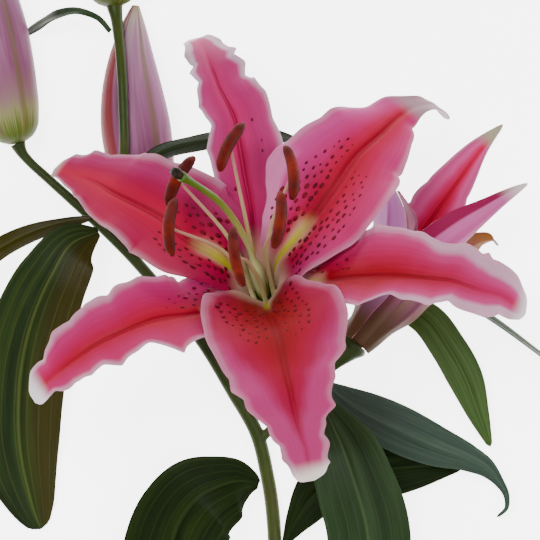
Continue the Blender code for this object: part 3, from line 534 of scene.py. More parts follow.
innerClaw = [(5.2, 2.4, 0, 2.8, 0.3), (6.2, 8, 0, 3.6, 0.35)]
outerClaw = [(6.9, 2.4, 0, 3.0, 0.25), (8.2, 8, 0, 3.8, 0.35)]
openTepals = {
    "tepal_top": dict(azimuth=1, ruffle=1.3, waves=5.5, phase=0.4,
        rows=outerClaw + [(12, 16, 2, 6.5, 0.38), (20, 25.5, 4, 9, 11, 0.33), (29, 31.5, 5, 10, 14, 0.28),
        (37, 35.5, 6, 10.5, 15, 0.22), (47, 38.5, 7, 10, 14, 0.18), (62, 39.5, 5, 8, 11, 0.12),
        (75, 38, 4, 7, 9.5, 0.05), (86, 34, 3, 6, 7.5, 0), (92, 30.5, 1.5, 4.5, 5, 0),
        (96, 27, -1, 2.8, 3, 0)],
        margins=(((0.44, 0.8, 0.02), (0.52, -1.9, 0.035), (0.62, 0.9, 0.02), (0.7, -1.6, 0.02),
        (0.745, 0.6, 0.015), (0.79, -1.3, 0.015), (0.86, 0.9, 0.02)), ((0.5, -1.4, 0.04),
        (0.56, 0.4, 0.02), (0.63, 0.9, 0.02), (0.67, -0.9, 0.015), (0.72, 1.5, 0.02), (0.76, -0.9, 0.015),
        (0.8, 1.4, 0.02), (0.87, -0.7, 0.015)))),
    "tepal_upper_right": dict(azimuth=62, ruffle=1.4, waves=4.5, phase=1,
        rows=innerClaw[:1] + [(6.2, 8, 0, 3.6, 5.4, 0.35), (8.8, 17.5, 2.5, 7, 8.8, 0.4),
        (13, 25, 6, 12, 11.5, 0.38), (19, 30, 8, 19, 15, 0.32), (32, 36, 8, 24, 21.5, 0.24),
        (47, 38.5, 5, 22, 19.6, 0.15), (60, 37.5, 4, 16.5, 12.5, 0.05), (70, 35, 2, 10.5, 7, 0),
        (78, 32, 2.1, 5, 3.8, 0), (81.5, 29.5, 2.8, 4.2, 4, 0), (83.7, 27, 3.4, 3.8, 0),
        (84.8, 24, 4.2, 3.3, 3.6, 0), (84.9, 20.5, 4.8, 2.6, 3.2, 0)],
        margins=(((0.6, -1.9, 0.04), (0.65, -0.4, 0.02), (0.7, 1.3, 0.04), (0.76, -0.5, 0.02),
        (0.81, 1, 0.03)), ((0.2, 2.6, 0.06), (0.35, 3.6, 0.12), (0.49, 1, 0.04), (0.58, -1.2, 0.015),
        (0.65, 1, 0.04), (0.7, -0.4, 0.015), (0.765, -1.6, 0.03)))),
    "tepal_right": dict(azimuth=122, ruffle=1.3, waves=5.5, phase=2.2,
        rows=outerClaw + [(13, 13.5, 2.5, 12, 6.5, 0.3), (18, 18.5, 3.5, 13.4, 9, 0.22),
        (25, 24.5, 5, 13, 11, 0.24), (33, 29.5, 6, 14.5, 12, 0.24), (43, 35, 7, 16.5, 11.5, 0.26),
        (54, 38, 6.5, 17, 11, 0.28), (64, 39.3, 6, 16, 10.5, 0.27), (74, 39, 5, 15, 10, 0.25),
        (84, 37, 5.5, 13.5, 9.5, 0.18), (91, 33, 4, 10, 8, 0.08), (96, 28, 4.2, 6.8, 4.4, 0),
        (98, 25, 4.2, 4.8, 2.8, 0)],
        margins=(((0.7, -3.6, 0.06), (0.75, 0.9, 0.015), (0.8, -1.4, 0.025), (0.86, -0.8, 0.012),
        (0.93, 1.5, 0.03)), ((0.505, 4.5, 0.035), (0.585, -2.3, 0.03), (0.7, 3.6, 0.03),
        (0.765, -1.3, 0.015), (0.85, 1.3, 0.02), (0.9, -0.6, 0.012), (0.955, 0.6, 0.02)))),
    "tepal_bottom": dict(azimuth=179, ruffle=1.2, waves=4.5, phase=0,
        rows=innerClaw[:1] + [(7, 6.2, 0, 3.9, 0.6), (11.8, 12, 0, 7.1, 8.9, 0.86),
        (19, 19.5, 0.3, 10, 15.3, 0.74), (28, 27.5, 0.5, 16.5, 21, 0.5), (39, 35.4, 0, 24, 23.2, 0.2),
        (54, 38.5, 1, 20, 0.05), (69, 39.5, 2, 13.5, 16, 0), (79, 37, 3, 9, 10.5, 0),
        (86, 31.5, 3, 6.7, 7.5, 0), (90, 26, 3.6, 5.2, 5.5, 0), (91.8, 22, 3.4, 4.3, 4.6, 0)],
        margins=(((0.5, 1, 0.04), (0.6, 1.8, 0.035), (0.655, -0.7, 0.015), (0.7, 1, 0.02),
        (0.78, 3, 0.025), (0.84, 0.8, 0.015), (0.868, -0.6, 0.01), (0.895, 1.3, 0.02), (0.955, 1.6, 0.02)),
        ((0.6, -0.7, 0.02), (0.645, 0.6, 0.02), (0.7, -1.3, 0.02), (0.745, 0.4, 0.015), (0.8, -1.4, 0.02),
        (0.86, -0.9, 0.015), (0.91, 1.3, 0.02), (0.96, 0.6, 0.02)))),
    "tepal_lower_left": dict(azimuth=245, ruffle=1.3, waves=5, phase=1.5,
        rows=outerClaw + [(12, 14, -3, 4, 13, 0.32), (17, 19.8, -6, 4.8, 14.5, 0.2),
        (23.5, 25.8, -8.5, 9, 15.5, 0.12), (32, 32, -8, 14.5, 14, 0.14), (41, 36.5, -5, 14.5, 16, 0.22),
        (54, 38, -1, 12, 14.5, 0.26), (64, 37, 2, 10.5, 13.5, 0.24), (75, 33, 5, 8.5, 10.5, 0.16),
        (82, 28, 8, 6, 8, 0.08), (86, 24, 9, 4, 5, 0), (88, 21, 9, 2.4, 3.4, 0)],
        margins=(((0.485, 7, 0.028), (0.56, -1.3, 0.03), (0.66, 2.4, 0.022), (0.71, -0.7, 0.015),
        (0.76, 1, 0.015), (0.82, -1.1, 0.02), (0.9, -1.8, 0.03)), ((0.38, 3, 0.08), (0.5, 1.2, 0.04),
        (0.61, -1.5, 0.018), (0.68, 0.9, 0.02), (0.74, -0.8, 0.015), (0.8, 0.6, 0.02),
        (0.885, -1.9, 0.018), (0.94, 1, 0.02)))),
    "tepal_upper_left": dict(azimuth=310, ruffle=1.3, waves=4.5, phase=2.8,
        rows=innerClaw[:1] + [(6.2, 8, 0, 5.4, 3.6, 0.35), (7.3, 17.5, -3, 8.6, 8.5, 0.4),
        (11, 28, -6, 10, 17.5, 0.38), (20, 35, -7, 15, 22, 0.27), (30, 38.5, -4, 17.5, 21.5, 0.2),
        (38, 40, -3, 15.5, 19.5, 0.15), (50, 40, -1, 11.5, 17.5, 0.1), (59, 38, 2, 8.5, 12.5, 0.05),
        (69, 35, 4, 5, 9.5, 0), (76, 32, 6, 3, 6, 0), (80, 29, 7, 2.6, 3.8, 0)],
        margins=(((0.25, 1.4, 0.05), (0.37, 2.6, 0.07), (0.56, -0.4, 0.02), (0.8, 0.6, 0.02)),
        ((0.66, -0.3, 0.015), (0.73, 1.4, 0.045), (0.79, -0.5, 0.015), (0.86, 1.2, 0.04),
        (0.945, 1.6, 0.025)))),
}

# a span is (closed at, open at): where a colour starts and where it is full; pale and white are
# (from, share at the tip)
# the foot's cream is lighter than its own colour: painted light, making up for the shade deep in the throat
plainLook = dict(deep="#8a0522", band=0.26, bandEdge="#a00d42", flank="#a52662", outer="#a83c74",
    margin="#b09aa8", rim=0.5, white=(0.8, 0.12), lean=0.0, marginFrom=0.1, pale=(0.6, 0.12), deeper=0.0,
    tip="#c3bcc0", tipAt=0.99, ribDark="#5c040e", foot="#d0b09c", footSpan=(0.2, 0.06), halo=0.4,
    furrow="#a8a02c", furrowWide=0.12, furrowSpan=(0.36, 0.24))
tepalLooks = {
    "tepal_top": dict(plainLook, deep="#980c44", band=0.2, bandEdge="#a01e56", flank="#941e54",
        outer="#982e62", rim=0.8, white=(0.55, 0.42), pale=(0.35, 0.22), halo=0.2, furrowSpan=(0.16, 0.08)),
    "tepal_upper_right": dict(plainLook, deep="#900526", band=0.3, bandEdge="#9c053a", flank="#9e1c58",
        outer="#a2326e", lean=-0.4, rim=0.4, pale=(0.5, 0.1), tipAt=0.84, tip="#8a6c74", fold="#b0608a",
        furrowWide=0.15, furrowSpan=(0.36, 0.22)),
    "tepal_right": dict(plainLook, deep="#850518", band=0.42, bandEdge="#940a34", flank="#9c1c4e",
        outer="#a43468", rim=0.65, white=(0.5, 0.46), pale=(0.45, 0.6), furrowSpan=(0.32, 0.2)),
    "tepal_bottom": dict(plainLook, deep="#78050e", band=0.42, bandEdge="#840520", flank="#880c34",
        outer="#982c5e", rim=0.34, white=(0.75, 0.25), pale=(0.3, 0.8), deeper=0.15, tip="#c8beb8",
        tipAt=0.975, furrowWide=0.16, furrowSpan=(0.25, 0.14)),
    "tepal_lower_left": dict(plainLook, deep="#920522", band=0.28, bandEdge="#960534", flank="#980e48",
        outer="#9c245c", lean=0.25, rim=0.55, white=(0.3, 0.12), pale=(0.4, 0.14), tipAt=0.96,
        furrowSpan=(0.34, 0.26)),
    "tepal_upper_left": dict(plainLook, deep="#98052e", band=0.36, bandEdge="#8e0532", flank="#880c3e",
        outer="#8e2252", lean=0.5, marginFrom=0.3, pale=(0.7, 0.08), tip="#a08480", tipAt=0.985,
        furrowWide=0.18, furrowSpan=(0.38, 0.22)),
}
backLook = dict(rib="#8c4068", flank="#9c5280", outer="#a86a95", margin="#b8aab4", tip="#b4aaa8",
    tipSpan=(0.8, 1.0), foot="#8c9054", footSpan=(0.25, 0.02))

openForms = {}
backOpen = tepalBack("tepalBackPale", backLook, 3.0)
for number, (name, spec) in enumerate(openTepals.items()):
    form = Blade(turned(spec), side=fromAxis(spec["azimuth"], 0, 0, 1), ruffle=spec["ruffle"],
                 waves=spec["waves"], phase=spec["phase"], groove=0.7, margins=spec["margins"], frill=0.35)
    openForms[name] = form
    face = tepalFlesh("tepalFlesh" + str(number + 1), tepalLooks[name], 1.7 * number)
    makeBlade(name, form, openBloom, [face, backOpen], across=60, along=160)
print("six tepals of the open bloom")


# papillae: raised points on the lower half of the open tepals

papillae = {
    "tepal_top": dict(count=6, low=(0.3, 0.55), high=(0.3, 0.55), near=0.3, size=0.9),
    "tepal_upper_right": dict(count=104, low=(0.24, 0.6), high=(0.2, 0.52), near=0.16, size=1.1),
    "tepal_right": dict(count=18, low=(0.14, 0.42), high=(0.16, 0.26), near=0.2, size=1.1),
    "tepal_bottom": dict(count=130, low=(0.24, 0.5), high=(0.26, 0.5), near=0.12, size=1.3),
    "tepal_lower_left": dict(count=26, low=(0.2, 0.34), high=(0.2, 0.46), near=0.2, size=1.05),
    "tepal_upper_left": dict(count=66, low=(0.18, 0.46), high=(0.2, 0.46), near=0.18, size=1.2),
}
papillaGap = 2.1        # least distance apart, in sizes
papillaTries = 3000
papillaLift = 0.28
papillaShape = (0.72, 1.2, 0.35)

pointFlesh = spottedFlesh("papillaFlesh", 0.5, 180.0, "#46030f", "#620618")
dice = random.Random(11)
for name, spec in papillae.items():
    form = openForms[name]
    bm = bmesh.new()
    kept = []
    tries = 0
    while len(kept) < spec["count"] and tries < papillaTries:
        tries += 1
        sign = dice.choice((-1, 1))
        first, last = spec["low"] if sign < 0 else spec["high"]
        share = dice.random() ** 1.25
        t = first + (last - first) * share
        u = sign * dice.uniform(spec["near"], 0.86 - 0.45 * share)
        (place,), _ = form.at(np.array([u]), np.array([t]))
        if any(np.linalg.norm(place - other) < papillaGap * spec["size"] for other in kept):
            continue
        kept.append(place)
        up = form.normal(np.array([u]), np.array([t]))[0]
        way = np.array([form.read(form.ways[:, i], t) for i in range(3)])
        size = spec["size"] * dice.uniform(0.6, 1.1) * (1.1 - 0.5 * share)
        turn = Matrix((np.cross(way, up), way, up)).transposed().to_4x4()
        spot = bmesh.ops.create_uvsphere(bm, u_segments=8, v_segments=5, radius=size)["verts"]
        bmesh.ops.scale(bm, vec=papillaShape, verts=spot)
        bmesh.ops.transform(bm, matrix=Matrix.Translation(place + up * papillaLift) @ turn, verts=spot)
    finishPiece(name + "_papillae", bm, openBloom, [pointFlesh], name)
print("papillae")


# stamens and pistil of the open bloom: foot and azimuth are the filament's turns about the axis at
# its two ends; way runs from the anther's middle to its upper end, and ends are its ends' heights

stamens = [
    dict(foot=2, azimuth=12, out=18, up=62, way=(6, 8.2), ends=(0, -1), bow=(-0.6, 0.4)),
    dict(foot=63, azimuth=90, out=20.5, up=62, way=(1.5, 10.5), ends=(-0.5, 0), bow=(1, 0)),
    dict(foot=123, azimuth=145, out=21, up=62, way=(3.7, 10), ends=(-1, 0), bow=(0.8, -0.2)),
    dict(foot=180, azimuth=190, out=27, up=62, way=(1.2, 11), ends=(-2, 0), bow=(-0.7, 0)),
    dict(foot=245, azimuth=253, out=23.5, up=62, way=(3.2, 10.8), ends=(-1, -1), bow=(-0.9, 0.2)),
    dict(foot=311, azimuth=308, out=20, up=60, way=(6.5, 7.7), ends=(-2, -1), bow=(-0.6, 0.4)),
]
filamentFoot = [(3.9, 2.8, 0.9), (4.5, 14, 0.85)]       # out, up, radius
# along an anther: share of the way to its lower (below 0) or upper end, share of its bow, radius
antherShape = [(-1.0, -0.9, 0.9), (-0.85, -0.3, 1.7), (-0.5, 0.5, 2.15), (0.0, 0.9, 2.25),
               (0.5, 0.5, 2.1), (0.85, -0.3, 1.65), (1.0, -0.9, 0.85)]
antherDrop = Vector((0, 0, 1.9))        # from the filament's end to the anther's middle
pistilRows = [(0, 0, 2.6, 2.2), (0, 0, 8, 2.6), (0, 0, 18, 2.4), (0, 0, 22, 1.5), (-1, 0, 40, 1.2),
              (-6, 1.5, 60, 1.2), (-12, 2.5, 71, 1.3), (-14.5, 3, 75, 1.8)]
stigmaRows = [(-14.7, 3.05, 75.2, 1.5), (-15.3, 3.2, 76.2, 1.8), (-16.1, 3.45, 77.4, 1.9),
              (-16.9, 3.7, 78.4, 1.3)]

# pale cream-green filaments, lightened with painted light against the shade in the throat
filamentFlesh = styleFlesh("filamentFlesh", [
    (0.0, "#b8b47c"), (0.45, "#b09c6c"), (0.8, "#a8806c"), (1.0, "#a06c5c")], 1.0)
# the ovary's pale green band is lightened with painted light, making up for the shade deep in the throat
ovaryFlesh = styleFlesh("ovaryFlesh", [
    (0.0, "#6a6818"), (0.05, "#8a8c38"), (0.10, "#b8bc88"), (0.24, "#b4b47c"), (0.5, "#908c4c"),
    (0.75, "#586620"), (1.0, "#3a5010")], 2.0)
pollen = pollenCoat("pollenCoat")
stigmaFlesh = spottedFlesh("stigmaFlesh", 0.45, 500.0, "#140c08", "#281c10")


def antherRelief(t, angle):     # two long lobes with a seam between them
    return 1 - 0.20 * abs(math.cos(angle)) ** 8


def ovaryRelief(t, angle):      # three long ridges on the ovary
    return 1 - (0.10 * abs(math.cos(1.5 * angle)) ** 4 if t < 0.3 else 0.0)


def stigmaRelief(t, angle):     # three lobes
    return 1 - 0.22 * abs(math.cos(1.5 * angle)) ** 3


for number, spec in enumerate(stamens, start=1):
    out, up = spec["out"], spec["up"]
    end = Vector(fromAxis(spec["azimuth"], out, up))
    rows = [(*fromAxis(spec["foot"], *row[:2]), row[2]) for row in filamentFoot]
    rows += [(*fromAxis(spec["azimuth"], 0.30 * out + 1.5, 0.55 * up), 0.72), (*end, 0.45)]
    makeRound(f"filament_{number}", rows, openBloom, [filamentFlesh], 14, 60)
    middle = end + antherDrop
    (x, y), (low, high), bow = spec["way"], spec["ends"], Vector((*spec["bow"], 0))
    lower, upper = Vector((-x, -y, low)), Vector((x, y, high))
    rows = [(*(middle + abs(share) * (lower if share < 0 else upper) + bend * bow), radius)
            for share, bend, radius in antherShape]
    makeRound(f"anther_{number}", rows, openBloom, [pollen], 24, 40, antherRelief)
makeRound("pistil", pistilRows, openBloom, [ovaryFlesh], 24, 90, ovaryRelief)
makeRound("stigma", stigmaRows, openBloom, [stigmaFlesh], 30, 16, stigmaRelief)
print("stamens and pistil")


# half-open bloom, with rows as the open one's; twist turns a tepal's width about the axis

halfInner = [(3.6, 1.2, 0, 2.2, 0.3), (4.6, 8, 0, 3.4, 0.35)]
halfOuter = [(5.2, 1.2, 0, 2.6, 0.25), (6.4, 8, 0, 3.6, 0.3)]
halfTepals = {
    "half_tepal_low": dict(azimuth=344, look="pale",
        rows=halfOuter + [(9, 20, 0, 6.5, 0.3), (12.5, 36, 0, 11, 0.25), (14.8, 52, 0, 11.5, 10.5, 0.2),
        (14.2, 68, -0.7, 9.2, 6, 0.15), (12.8, 84, -1.6, 4.6, 2.2, 0.1), (11.5, 94.5, -1.4, 0.5, 0)],
        margins=(((0.5, 0.9, 0.02), (0.56, -0.9, 0.02), (0.66, -0.5, 0.02)), ((0.62, -0.6, 0.02),
        (0.7, -0.4, 0.02)))),
    "half_tepal_under": dict(azimuth=44, look="pale",
        rows=halfInner + [(6.2, 20, 0, 5.5, 0.35), (9, 34, 0, 7.5, 0.3), (11, 44, 0, 7, 0.25),
        (12.5, 52, 0, 4.5, 0.2), (13, 57, 0, 1.3, 0)]),
    "half_tepal_side": dict(azimuth=104, look="olive",
        rows=halfOuter + [(9.5, 20, 0, 5, 0.3), (11, 34, 0, 6.5, 0.2), (11.5, 45, 0, 6.5, 6.8, 0.2),
        (12.3, 51, 0, 5, 5.5, 0.2), (14, 56, 0, 3.4, 3.6, 0.2), (17, 58.6, 0, 2.2, 2.4, 0.1),
        (20, 58, 0, 0.8, 0)], twist=35),
    "half_tepal_near": dict(azimuth=164, look="rolled",
        rows=halfInner + [(6.2, 20, 0, 5.5, 0.35), (9.5, 36, -1, 6.5, 9.5, 0.3),
        (14, 52, -3.5, 2.8, 9.3, 0.2), (18.5, 66, -5.5, 1.4, 5.4, 0.1), (21, 75, -7, 1, 2.3, 0),
        (22, 79.8, -8.2, 0.5, 0)]),
    "half_tepal_back": dict(azimuth=224, look="lilac",
        rows=halfOuter + [(9.5, 20, 0, 6.5, 9, 0.3), (14.5, 33, 1, 9, 11.5, 0.25),
        (20, 42, 4, 7.5, 8.5, 0.15), (24, 48, 6.5, 4.8, 5, 0.05), (26.5, 51.5, 8, 1.6, 0)]),
    "half_tepal_far": dict(azimuth=284, look="maroon",
        rows=halfInner + [(6.2, 20, 0, 5.5, 0.35), (7, 34, -0.5, 7.5, 6, 0.4),
        (8.8, 44.8, -1, 7, 5.5, 0.4), (13.2, 49, -1.5, 5, 4.5, 0.4), (19.8, 52.6, -2, 1.6, 0.2)]),
}
# the half bloom's tepal face: its own pink, lightened with painted light against the shade its tilt puts on
# it
halfFaceLightened = tepalFlesh("halfTepalFleshLightened", dict(plainLook, deep="#ac0a34", band=0.34, bandEdge="#b4205c",
    flank="#b84c80", marginFrom=0.3, pale=(0.6, 0.15), tipAt=0.93, tip="#8f8a74", footSpan=(0.06, 0.02),
    furrowSpan=(0.05, 0.02)), 9.0)
# the far tepal's face with painted shade: the tepal's own crimson and pink, darkened to maroon
farFaceInShade = tepalFlesh("halfTepalShaded", dict(plainLook, deep="#50061c", band=0.3, bandEdge="#5a0c28",
    flank="#641838", outer="#6e2848", margin="#8c5a70", tip="#6e3a4c", marginFrom=0.3,
    footSpan=(0.06, 0.02), furrowSpan=(0.05, 0.02)), 8.0)
halfBackLook = dict(rib="#7c3258", flank="#96487a", outer="#a05c8a", margin="#a07088", tip="#b6b2a6",
    tipSpan=(0.78, 0.98), foot="#44301c", footSpan=(0.55, 0.1))
halfBacks = {
    "pale": tepalBack("halfTepalBack", halfBackLook, 5.0),
    # the rolled margin's strip: inner-face magenta with painted shade
    "rolled": tepalBack("halfTepalRolled", dict(halfBackLook, innerStripInShade="#760c3c", rib="#a0487a",
        flank="#a85284", outer="#a85a88", tip="#b8b4ac", tipSpan=(0.86, 0.98)), 6.0),
    "lilac": tepalBack("halfTepalLilac", dict(halfBackLook, rib="#96588c", flank="#9c6496",
        outer="#a06c9c", margin="#a87ca0", tipSpan=(1.1, 1.2)), 7.0),
    "olive": tepalBack("halfTepalOlive", dict(halfBackLook, rib="#7c4460", flank="#8c5a6a",
        outer="#8f6868", margin="#8c7060", tip="#7a4a18", tipSpan=(0.62, 0.95)), 4.0),
    # the far tepal's back with painted shade: the half bloom's mauve back, darkened
    "maroon": tepalBack("halfTepalBackInShade", dict(halfBackLook, rib="#5a1434", flank="#6a2044",
        outer="#743050", margin="#7c4460", tipSpan=(1.1, 1.2)), 3.0),
}
halfPistilRows = [(0, 0, 1.6, 1.4), (0, 0, 4, 1.6), (0, 0, 18, 1.7), (0, 0, 23, 1.2), (0, 0, 44, 1.1),
                  (0, 0, 48, 2.0), (0, 0, 50, 1.2)]
halfFilament = [(2.6, 3.4, 0.5), (3.2, 14, 0.5), (4.3, 29, 0.5)]        # out, up, radius
halfAnther = [(4.3, 29.6, 0.6), (4.5, 33, 1.3), (4.7, 39, 1.4), (4.9, 45, 0.6)]
halfStamensFrom = -16   # azimuth

for name, spec in halfTepals.items():
    azimuth = spec["azimuth"]
    form = Blade(turned(spec), side=fromAxis(azimuth + spec.get("twist", 0), 0, 0, 1), ruffle=0.5,
                 waves=4, phase=azimuth / 50, groove=0.6, margins=spec.get("margins", ((), ())))
    face = farFaceInShade if spec["look"] == "maroon" else halfFaceLightened
    makeBlade(name, form, halfBloom, [face, halfBacks[spec["look"]]], across=36, along=110)
makeRound("half_pistil", halfPistilRows, halfBloom, [ovaryFlesh], 16, 40)
for number in range(1, 7):
    azimuth = 60 * number + halfStamensFrom
    rows = [(*fromAxis(azimuth, out, up), radius) for out, up, radius in halfFilament]
    makeRound(f"half_filament_{number}", rows, halfBloom, [filamentFlesh], 10, 24)
    rows = [(*fromAxis(azimuth, out, up), radius) for out, up, radius in halfAnther]
    makeRound(f"half_anther_{number}", rows, halfBloom, [pollen], 14, 24, antherRelief)
print("half-open bloom")


# buds

buds = {
    "bud_left": dict(foot=(-85.2, 102, 13.3), tip=(-104, 191, 11.8), radius=12.6, bow=0),
    "bud_middle": dict(foot=(-39.7, 75.9, 14), tip=(-44, 150, 12.2), radius=12.6, bow=-2.6),
    "bud_top": dict(foot=(-51.3, 149.5, 16), tip=(-60, 237, 9.8), radius=12.4, bow=0),
}
# along a bud: share of the length, share of the radius
budShape = [(0.0, 0.22), (0.012, 0.42), (0.04, 0.62), (0.10, 0.78), (0.20, 0.90), (0.30, 0.97),
            (0.42, 1.0), (0.60, 0.87), (0.78, 0.60), (0.92, 0.31), (1.0, 0.10)]
budLook = dict(along=[(0.0, "#3a4510"), (0.05, "#505c20"), (0.11, "#7d7a50"), (0.17, "#7c5c60"),
    (0.28, "#743f5c"), (0.6, "#80506e"), (0.85, "#947482"), (0.95, "#a09486"), (1.0, "#8c8458")],
    streak="#8a5a78", rib="#5c5228", ribShare=0.6, seam="#5a3040", seamShare=0.5, sideStrip="#74241c",
    sideStripFrom=0.355, sideStripTo=0.6, sideStripShare=0.0)
budLooks = {"bud_left": budLook, "bud_top": budLook, "bud_middle": dict(budLook, sideStripShare=0.85)}


def budRelief(t, angle):        # three broad ribs with a seam between each two
    return 1 - 0.07 * math.sin(math.pi * t) * abs(math.cos(1.5 * angle)) ** 6


for number, (name, spec) in enumerate(buds.items()):
    foot, tip, aside = Vector(spec["foot"]), Vector(spec["tip"]), Vector((spec["bow"], 0, 0))
    rows = [(*(foot + (tip - foot) * t + aside * math.sin(math.pi * t ** 1.5)), spec["radius"] * share)
            for t, share in budShape]
    skin = budSkin("budSkin" + str(number + 1), budLooks[name], 2.3 * number)
    makeRound(name, rows, plan, [skin], 72, 70, budRelief)
print("buds")


# stem and pedicels, grown together at the forks: rows of x, y, z, radius

stemRoutes = {
    "main": [(9, -184, 2.6, 2.6), (8.5, -120, 3.4, 2.6), (5.5, -60, 4.4, 2.55), (2, -15, 6, 2.5),
        (-2, 1, 7.5, 2.5), (-10, 15, 9.5, 2.35), (-21, 33, 11.5, 2.2), (-33, 48, 12.6, 2.1),
        (-44, 61, 13, 2.1), (-56, 73, 13, 2), (-66, 82, 13, 1.8), (-76, 91, 13, 1.7),
        (-80.8, 95.4, 13.1, 1.7), (-83.8, 99, 13.2, 2), (-85.1, 102, 13.3, 2.9)],
    "open": [(-10, 15, 9.5, 1.6), (-5, 25, 13, 1.9), (0, 36, 20, 1.9), (2.2, 43.5, 29, 2.2),
        (1.7, 46.3, 34.6, 4.4), (1, 48.5, 38, 7.4), (0.75, 49.3, 39.2, 6.6)],
    "half": [(-1, -2, 7.5, 1.6), (7, 6, 8.5, 1.8), (17, 16, 12.5, 1.8), (25, 25, 17.8, 2.2),
        (29, 29.4, 19.6, 4.2), (31, 32, 20, 6), (31.8, 33, 20, 5.4)],
    "middle": [(-44, 61, 13, 1.5), (-42.5, 66, 13.3, 1.8), (-41, 71, 13.6, 2.2), (-40, 74.6, 13.8, 3.2)],
    "top": [(-54, 71, 13, 1.5), (-51, 78, 17, 1.8), (-48.8, 88, 24.2, 1.8), (-47.6, 99, 27.4, 1.75),
        (-47.8, 112, 27.2, 1.75), (-48.6, 128, 24.4, 1.8), (-49.8, 140, 19.6, 2), (-50.8, 147, 16.6, 2.4),
        (-51.3, 149.7, 15.9, 2.9)],
}

stemMesh = bmesh.new()
for key, rows in stemRoutes.items():
    bm = roundMesh(rows, sides=20, rings=160 if key == "main" else 60)
    part = bpy.data.meshes.new("stem_" + key)
    bm.to_mesh(part)
    bm.free()
    stemMesh.from_mesh(part)
    bpy.data.meshes.remove(part)
stem = finishPiece("stem_fine", stemMesh, plan, [stemSkin("stemSkin")], "stem")
weld = stem.modifiers.new("weld", "REMESH")
weld.mode = "VOXEL"
weld.voxel_size = 0.5 * mm
weld.use_smooth_shade = True
soften = stem.modifiers.new("soften", "SMOOTH")
soften.factor = 0.5
soften.iterations = 3
print("stem")


# leaves: rows of x, y, z, half-width left and right of the rib (one where they are alike), cup;
# face is where the top looks, if not up

